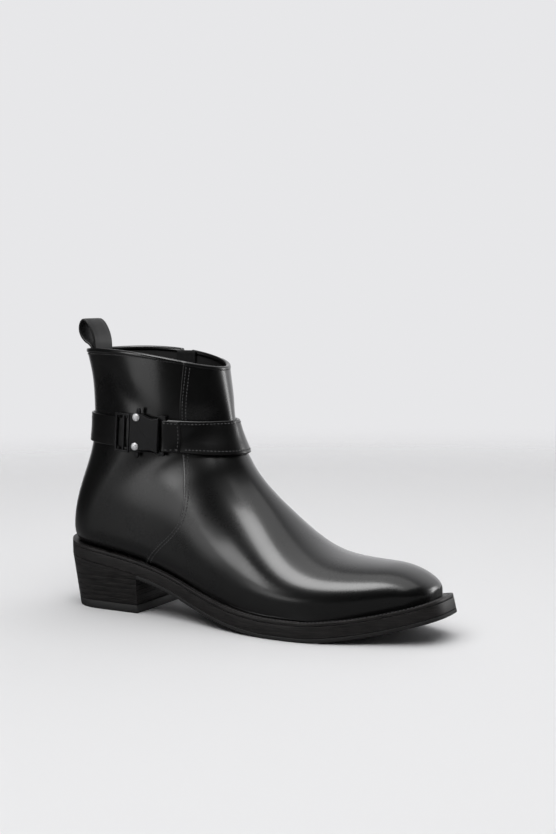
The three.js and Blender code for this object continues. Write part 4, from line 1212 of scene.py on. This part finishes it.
beadsAlong, beadSockets = beadTree()


def beadPiece(name, rows, spacing, size, finish, sway=0.0, spread=0.12, seed=3, replaced=()):
    mesh = bpy.data.meshes.new(name)
    points, outwards = (np.concatenate([row[k] for row in rows]) for k in (0, 1))
    edges, start = [], 0
    for line, _ in rows:
        edges += [(start + k, start + k + 1) for k in range(len(line) - 1)]
        start += len(line)
    mesh.from_pydata(inFrame(points).tolist(), edges, [])
    facing = mesh.attributes.new("outward", "FLOAT_VECTOR", "POINT")
    facing.data.foreach_set("vector", outwards.astype(np.float32).ravel())
    source = addObject(name + "_lines", mesh)
    row = source.modifiers.new("beads", "NODES")
    row.node_group = beadsAlong
    values = {
        "Spacing": spacing * mm, "Size": [s * mm for s in size], "Sway": sway * mm, "Spread": spread,
        "Seed": seed, "Finish": finish,
    }
    for key, value in values.items():
        row[beadSockets[key]] = value
    graph = bpy.context.evaluated_depsgraph_get()
    result = bpy.data.meshes.new_from_object(source.evaluated_get(graph), depsgraph=graph)
    bpy.data.objects.remove(source)
    result.name = name
    settle(addObject(name, result), replaced)


stitch = {
    "proud": 0.08, "size": (0.95, 0.42, 0.34), "seamGap": 2.35, "strapGap": 2.6, "weltSize": (1.05, 0.4, 0.3),
    "fromSeam": (1.9, 4.1), "underRim": 3.4, "strapIn": 2.2, "slotOut": 2.2, "slotUnder": 2.5, "foldIn": 1.2,
    "foldSideIn": 1.6, "weltIn": 2.3, "weltFrom": 74,
}


def rowOn(keel, turn, lift):
    return lifted(keel, turn, lift), faceNormal(keel, turn)


def seamRow(offset, side):
    line = evenly(seamLine(offset), 220)[3:-5]
    return rowOn(*placeOn(line[:, 0], line[:, 1], side), seam["step"] + stitch["proud"])


def collarRow():
    turn = collarTurns(0.01, 300)
    keel = np.full_like(turn, 2 - stitch["underRim"] / (last["collarBack"] - seatBack))
    return rowOn(keel, turn, vampLift(turn) + stitch["proud"])


def strapRows():
    lift = strap["onVamp"] + strap["frontThick"] - 0.02
    ends = strapTurn(fold["tail"] + 0.5, -1), strapTurn(zipLine["x"] + strapEdge + 2, 1)
    turn = np.linspace(*ends, 200)
    rows = []
    for side in (-1, 1):
        up = side * (strap["frontWidth"] / 2 - stitch["strapIn"])
        line = strapPoint(turn, up, lift)
        rows.append((line, strapPoint(turn, up, lift + 1) - line))
    up = np.linspace(-fold["half"] + stitch["foldIn"], fold["half"] - stitch["foldIn"], 30)
    x = np.full_like(up, fold["stitchAt"])
    line, above = (onFace(x, strapLine(x) + up, -1, fold["stitchLift"] + k) for k in (0, 1))
    rows.append((line, above - line))
    x = np.linspace(fold["nose"] + 3, fold["stitchAt"] - 1, 24)
    lift = fold["sideLift"] - fold["sideFall"] * (x - fold["sideFrom"]).clip(0)
    for side in (-1, 1):
        line = onFace(x, strapLine(x) + side * (fold["half"] - stitch["foldSideIn"]), -1, lift)
        rows.append((line, np.tile(buckleFrame[2], (len(x), 1))))
    return rows


def weltRow():
    line = soleLoop(0, band, stitch["weltIn"])
    line = line[line[:, 0] > stitch["weltFrom"]]
    return line + [0, 0, stitch["proud"]], np.tile([0, 0, 1.0], (len(line), 1))


def slotRows():
    low, half = zipLine["bottom"] - stitch["slotUnder"], zipLine["slot"] / 2 + stitch["slotOut"]
    z = np.linspace(low, zipTop - 1, 120)
    across = np.linspace(-1, 1, 16) * half + zipLine["x"]
    lines = [(np.full_like(z, zipLine["x"] + side * half), z) for side in (-1, 1)]
    lines.append((across, np.full_like(across, low)))
    return [rowOn(*placeOn(*line, 1), stitch["proud"]) for line in lines]


def addStitches():
    seams = [seamRow(offset, side) for offset in stitch["fromSeam"] for side in (-1, 1)]
    for name, rows, spacing, size in (
            ("seam_stitches", seams + [collarRow()] + slotRows(), stitch["seamGap"], stitch["size"]),
            ("strap_stitches", strapRows(), stitch["strapGap"], stitch["size"]),
            ("welt_stitches", [weltRow()], stitch["strapGap"], stitch["weltSize"])):
        beadPiece(name, rows, spacing, size, thread)


def addTeeth():
    z = np.linspace(zipLine["bottom"] + 1, sliderMiddle - zipLine["slider"] / 2, 200)
    row = rowOn(*placeOn(np.full_like(z, zipLine["x"]), z, 1), zipLine["toothLift"])
    beadPiece(
        "zip_teeth", [row], zipLine["pitch"], zipLine["tooth"], blackMetal,
        zipLine["sway"], 0.02, 5, ["zip_chain"])


addStitches()
addTeeth()
print("stitches and teeth made")

# Floor, backdrop and soft studio light
studio = {
    "pale": (0.8, 0.8, 0.815), "floorShade": 0.84, "floorSeenInGloss": 0.22, "fadeFrom": 0.5, "fadeTo": 1.5,
    "behind": 0.95, "front": 0.03, "backFrom": 0.35, "backTo": 0.85,
}
lights = [  # name, place and aim in the frame's metres, width and height, watts, and what it lights
    ("overhead", (-0.12, -0.5, 1.4), (0, 0, 0.1), (0.85, 0.8), 15, "gloss"),
    ("ceiling", (0.1, 0, 1.9), (0, 0, 0.1), (2.0, 2.0), 17, "gloss"),
    ("sideBox", (-0.83, -1.17, 0.62), (0, 0, 0.1), (0.32, 0.5), 3, "gloss"),
    ("frontCard", (-0.68, -1.42, 0.12), (0, 0, 0.12), (0.8, 0.34), 1.5, "gloss"),
    ("farStrip", (1.15, 1.25, 0.25), (0, 0, 0.12), (0.4, 0.9), 6, "gloss"),
    ("floorLight", (0.1, -0.3, 1.9), (0.05, 0, 0), (2.8, 2.8), 51, "floor"),
]


def addFloor():
    made = bpy.data.materials.new("paleFloor")
    made.use_nodes = True
    net = Net(made.node_tree)
    away = net.node("ShaderNodeVectorMath", {"operation": "LENGTH"}, out=1, i0=net.place())
    share = net.node(
        "ShaderNodeMapRange", {"interpolation_type": "SMOOTHERSTEP"}, Value=away, From_Min=studio["fadeFrom"],
        From_Max=studio["fadeTo"])
    shade = studio["floorShade"]
    gloss = net.node("ShaderNodeLightPath", out=3)
    pale, dark = ((k, k, k * 1.01, 1) for k in (shade, shade * studio["floorSeenInGloss"]))
    solid = net.node("ShaderNodeBsdfDiffuse", Color=net.blend(gloss, pale, dark))
    clear = net.node("ShaderNodeBsdfTransparent")
    net.end("ShaderNodeOutputMaterial", net.node("ShaderNodeMixShader", i0=share, i1=solid, i2=clear))
    mesh = bpy.data.meshes.new("floor")
    half = studio["fadeTo"] + 0.1
    corners = [(-half, -half, 0), (half, -half, 0), (half, half, 0), (-half, half, 0)]
    mesh.from_pydata(corners, [], [(0, 1, 2, 3)])
    mesh.materials.append(made)
    addObject("floor", mesh)


def addWorld():
    world = bpy.data.worlds.new("studio")
    bpy.context.scene.world = world
    world.use_nodes = True
    net = Net(world.node_tree)
    depth = net.node("ShaderNodeSeparateXYZ", out=1, i0=net.node("ShaderNodeTexCoord"))
    share = net.node(
        "ShaderNodeMapRange", {"interpolation_type": "SMOOTHSTEP"}, Value=depth, From_Min=studio["backFrom"],
        From_Max=studio["backTo"])
    pale = studio["pale"]
    around = net.blend(share, *[(*(c * studio[k] / pale[0] for c in pale), 1) for k in ("front", "behind")])
    seen, lit = (net.node("ShaderNodeBackground", Color=c, Strength=1.0) for c in ((*pale, 1), around))
    seenDirectly = net.node("ShaderNodeLightPath")
    net.end("ShaderNodeOutputWorld", net.node("ShaderNodeMixShader", i0=seenDirectly, i1=lit, i2=seen))


def addLights():
    for name, at, aim, size, power, reach in lights:
        data = bpy.data.lights.new(name, "AREA")
        data.shape = "RECTANGLE"
        data.size, data.size_y = size
        data.energy = power
        lamp = addObject(name, data)
        way = Vector(aim) - Vector(at)
        lamp.matrix_world = Matrix.Translation(at) @ way.to_track_quat("-Z", "Y").to_matrix().to_4x4()
        lamp.visible_diffuse, lamp.visible_glossy = reach == "floor", reach == "gloss"


addFloor()
addWorld()
addLights()
bpy.context.scene.view_settings.view_transform = "Standard"
print("studio lit")
